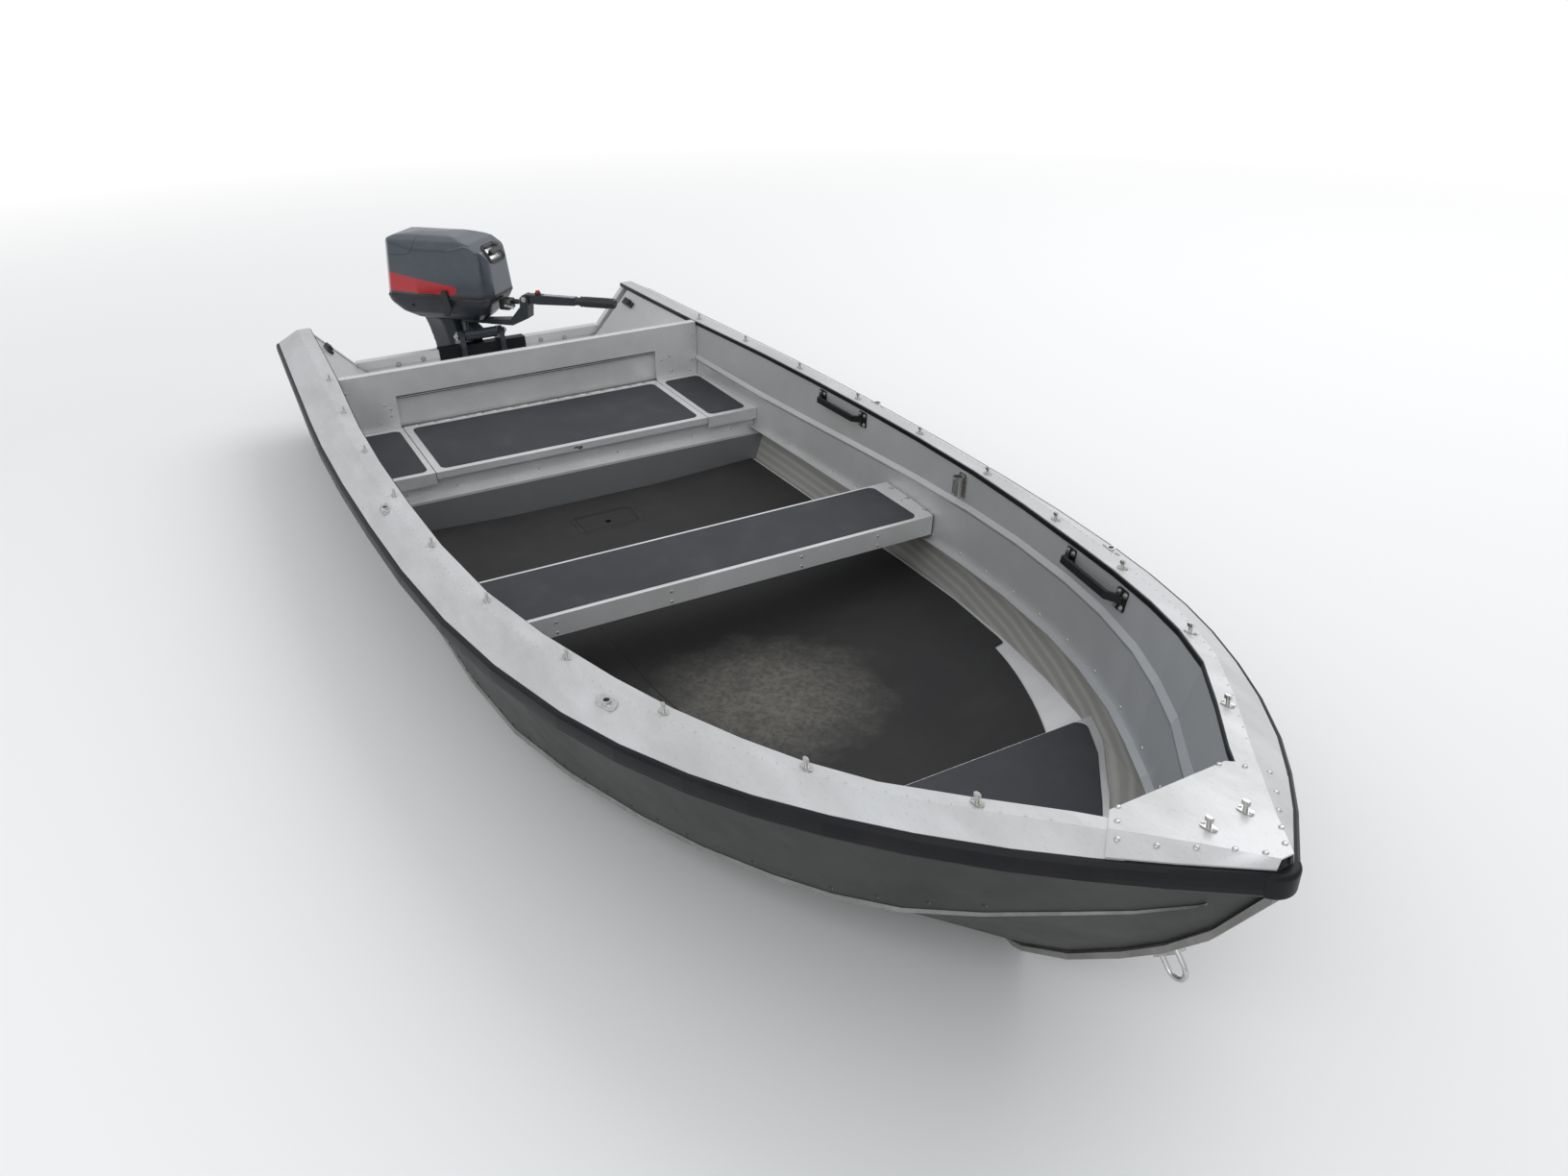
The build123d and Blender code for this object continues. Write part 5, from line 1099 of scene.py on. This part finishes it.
class BOAT_OT_seats(Operator):
    """Adds the rivets and bolts of the thwart and the bow seat."""

    bl_idname = "boat.seats"
    bl_label = "Seat rivets"

    def execute(self, context):
        rivets, bolts = [], []
        for x, look in ((2.8, -1), (1.9, 1)):
            starts = [(x, y, z) for y in (-0.502, -0.171, 0.241, 0.502) for z in (0.240, 0.209)]
            rivets += spots("mid_thwart", starts, (look, 0, 0), (0, 1, 0))
        for side in (1, -1):
            starts = [(x, side * 0.704, 0.6) for x in (2.235, 2.325, 2.420)]
            bolts += spots(("thwart_brackets", "mid_thwart"), starts, (0, 0, -1))
            starts = [(3.2, side * y, 0.176) for y in (0.10, 0.22, 0.34)]
            rivets += spots("bow_seat", starts, (1, 0, 0), (0, 1, 0))
            starts = [(1.6, side * y, 0.150) for y in (0.15, 0.45, 0.62)]
            rivets += spots("bench_frame", starts, (-1, 0, 0), (0, 1, 0))
        fasten(rivet(SMALL_RIVET), rivets, "seat_rivets", "bright")
        fasten(bolt(SMALL_BOLT), bolts, "thwart_bolts")
        return {"FINISHED"}


class BOAT_OT_floor(Operator):
    """Adds the mat's seam and the hatch's frame."""

    bl_idname = "boat.floor"
    bl_label = "Floor details"
    HATCH_X = (1.429, 1.543)
    HATCH_HALF = 0.100
    MARGIN = 0.012

    def execute(self, context):
        line = []
        for share in shares(0.0, 1.0, 12):
            start = (2.166 + 0.536 * share, -0.289 + 0.026 * share ** 3, 0.15)
            line.append(hit("floor_mat", start, (0, 0, -1)))
        coat(strip("mat_seam", line, 0.003, 0.0006), "gap", "boat", "black")
        aft, fore = self.HATCH_X
        middle = (aft + fore) / 2
        half = (fore - aft) / 2 + self.MARGIN
        line = [
            hit("floor_mat", (middle + x, y, 0.15), (0, 0, -1))
            for x, y in round_corners(half, self.HATCH_HALF + self.MARGIN, 0.25, 64)
        ]
        ring = strip("hatch_frame", line, 0.007, 0.0012, closed=True)
        coat(ring, "black", "boat", "black")
        return {"FINISHED"}


class BOAT_OT_outside(Operator):
    """Adds the rivets along the hull's outside and the stem's slots."""

    bl_idname = "boat.outside"
    bl_label = "Hull rivets"

    def execute(self, context):
        sizes = context.scene.boat_sizes
        count = int(3.9 / sizes.rivet_pitch)
        rivets = []
        for side in (1, -1):
            starts = [
                (x, side * 1.4, across(SIDE_RISE, x, 0.0) + 0.030)
                for x in shares(0.14, 3.95, count)
            ]
            rivets += spots("hull_sides", starts, (0, -side, 0))
        heads = placed_copies(rivet(sizes.rivet_radius), rivets, "chine_rivets")
        coat(heads, "hull", "boat", "hull")
        parts = []
        for low, high in ((0.140, 0.178), (0.330, 0.368)):
            starts = [(5.0, 0, z) for z in shares(low, high, 5)]
            line = [hit("stem_and_keel", start, (-1, 0, 0)) for start in starts]
            parts.append(strip("slot", line, 0.007, 0.0006))
        coat(joined(parts, "stem_slots"), "gap", "boat", "black")
        return {"FINISHED"}


class BOAT_OT_stage(Operator):
    """Makes the pale floor at the waterline, the soft lights, the world and the camera."""

    bl_idname = "boat.stage"
    bl_label = "Stage"

    def execute(self, context):
        scene = context.scene
        floor = self.make_floor()
        self.light_world(scene)
        camera = bpy.data.cameras.new("Camera")
        camera.sensor_width = SENSOR_MM
        camera.lens = SENSOR_MM * FOCAL_PIXELS / PHOTO_WIDTH
        camera.clip_start = 0.05
        view = bpy.data.objects.new("Camera", camera)
        right, down, ahead = (Vector(row) for row in VIEW_ROWS)
        turn = Matrix((right, -down, -ahead)).transposed().to_4x4()
        view.matrix_world = Matrix.Translation(EYE) @ turn
        scene.collection.objects.link(view)
        scene.camera = view
        scene.view_settings.view_transform = "Standard"
        return {"FINISHED"}

    def waterline(self):
        """The hull's outline at the water, just inside its outer face, as (x, half-breadth)."""
        bottom = NODES["hull_bottom"]
        line = []
        low, high = 0.02, 0.09
        for x in shares(0.08, 3.76, 61):
            depth = []
            for y in (low, high):
                found, point, _, _ = bottom.ray_cast(Vector((x, y, -0.6)), Vector((0, 0, 1)))
                depth.append(point.z if found else 0.0)
            if depth[0] >= -0.004:
                break
            slope = (depth[1] - depth[0]) / (high - low)
            line.append((x, low - depth[0] / slope - 0.008))
        return line

    def make_floor(self):
        """A wide floor with a hole for the hull."""
        half = 60.0
        line = self.waterline()
        mesh = bpy.data.meshes.new("Floor")
        form = bmesh.new()
        port = [form.verts.new((x, y, 0)) for x, y in line]
        starboard = [form.verts.new((x, -y, 0)) for x, y in line]
        outer_port = [form.verts.new((x, half, 0)) for x, _ in line]
        outer_starboard = [form.verts.new((x, -half, 0)) for x, _ in line]
        for a, b, sign in ((port, outer_port, 1), (starboard, outer_starboard, -1)):
            for i in range(len(line) - 1):
                ring = [a[i], a[i + 1], b[i + 1], b[i]]
                form.faces.new(ring if sign > 0 else ring[::-1])
        aft = [form.verts.new((-half, y, 0)) for y in (half, line[0][1], -line[0][1], -half)]
        fore = [form.verts.new((half, y, 0)) for y in (half, line[-1][1], -line[-1][1], -half)]
        for side, row in ((aft, 0), (fore, -1)):
            near = [outer_port[row], port[row], starboard[row], outer_starboard[row]]
            for i in range(3):
                form.faces.new([side[i], near[i], near[i + 1], side[i + 1]])
        bmesh.ops.recalc_face_normals(form, faces=form.faces)
        if sum(face.normal.z for face in form.faces) < 0:
            bmesh.ops.reverse_faces(form, faces=form.faces)
        form.to_mesh(mesh)
        form.free()
        floor = bpy.data.objects.new("Floor", mesh)
        bpy.context.scene.collection.objects.link(floor)
        material = bpy.data.materials.new("Floor")
        material.use_nodes = True
        shader = material.node_tree.nodes["Principled BSDF"]
        shader.inputs["Base Color"].default_value = rgba(0.82, 0.82, 0.82)
        shader.inputs["Roughness"].default_value = 0.95
        self.fade(material.node_tree, shader)
        mesh.materials.append(material)
        return floor

    def fade(self, tree, shader):
        """Lets the camera see the floor go over into the white background away from the boat."""
        place = add(tree, "TexCoord").outputs["Object"]
        away = add(tree, "VectorMath", ((0, place), (1, (2.0, 0.0, 0.0))), operation="DISTANCE")
        seen = add(tree, "LightPath").outputs["Is Camera Ray"]
        share = times(tree, ramp(tree, away.outputs["Value"], 3.2, 9.0), seen)
        glow = add(tree, "Emission").outputs[0]
        mixer = add(tree, "MixShader")
        for index, value in enumerate((share, shader.outputs[0], glow)):
            tree.links.new(value, mixer.inputs[index])
        tree.links.new(mixer.outputs[0], tree.nodes["Material Output"].inputs["Surface"])

    def light_world(self, scene):
        """A pale sky that the camera sees as white, and two wide soft lamps."""
        world = bpy.data.worlds.new("Sky")
        scene.world = world
        world.use_nodes = True
        tree = world.node_tree
        back = tree.nodes["Background"]
        place = add(tree, "TexCoord").outputs["Generated"]
        sky = ramp(tree, coordinate(tree, place, 2), -0.25, 0.6)
        colour = mix_colour(tree, sky, rgba(0.42, 0.43, 0.43), rgba(0.95, 0.97, 1.0))
        seen = add(tree, "LightPath").outputs["Is Camera Ray"]
        tree.links.new(mix_colour(tree, seen, colour, rgba(1.3, 1.3, 1.3)), back.inputs["Color"])
        back.inputs["Strength"].default_value = 0.8
        for name, place_at, size, energy in (
            ("Key light", (1.0, 6.0, 7.0), 8.0, 340.0),
            ("Fill light", (6.0, -6.0, 5.0), 6.0, 170.0),
        ):
            light = bpy.data.lights.new(name, "AREA")
            light.size = size
            light.energy = energy
            lamp = bpy.data.objects.new(name, light)
            lamp.location = place_at
            aim = Vector((2.0, 0.0, 0.3)) - Vector(place_at)
            lamp.rotation_euler = aim.to_track_quat("-Z", "Y").to_euler()
            scene.collection.objects.link(lamp)


class BOAT_PT_panel(Panel):
    """Lists the boat's sizes, colours and steps."""

    bl_label = "Aluminium fishing boat"
    bl_idname = "BOAT_PT_panel"
    bl_space_type = "VIEW_3D"
    bl_region_type = "UI"
    bl_category = "Boat"

    def draw(self, context):
        layout = self.layout
        for group in (context.scene.boat_sizes, context.scene.boat_colours):
            for name in group.__annotations__:
                layout.prop(group, name)
        for operator in OPERATORS:
            layout.operator(operator.bl_idname)


OPERATORS = (
    BOAT_OT_stage, BOAT_OT_materials, BOAT_OT_motor, BOAT_OT_gunwales, BOAT_OT_panels,
    BOAT_OT_stern, BOAT_OT_seats, BOAT_OT_floor, BOAT_OT_outside,
)
CLASSES = (BoatSizes, BoatColours) + OPERATORS + (BOAT_PT_panel,)


def register():
    for item in CLASSES:
        bpy.utils.register_class(item)
    bpy.types.Scene.boat_sizes = PointerProperty(type=BoatSizes)
    bpy.types.Scene.boat_colours = PointerProperty(type=BoatColours)


def unregister():
    del bpy.types.Scene.boat_colours
    del bpy.types.Scene.boat_sizes
    for item in reversed(CLASSES):
        bpy.utils.unregister_class(item)


def main():
    register()
    bpy.ops.boat.stage()
    bpy.ops.boat.materials()
    bpy.ops.boat.motor()
    bpy.ops.boat.gunwales()
    bpy.ops.boat.panels()
    bpy.ops.boat.stern()
    bpy.ops.boat.seats()
    bpy.ops.boat.floor()
    bpy.ops.boat.outside()


if __name__ == "__main__":
    main()
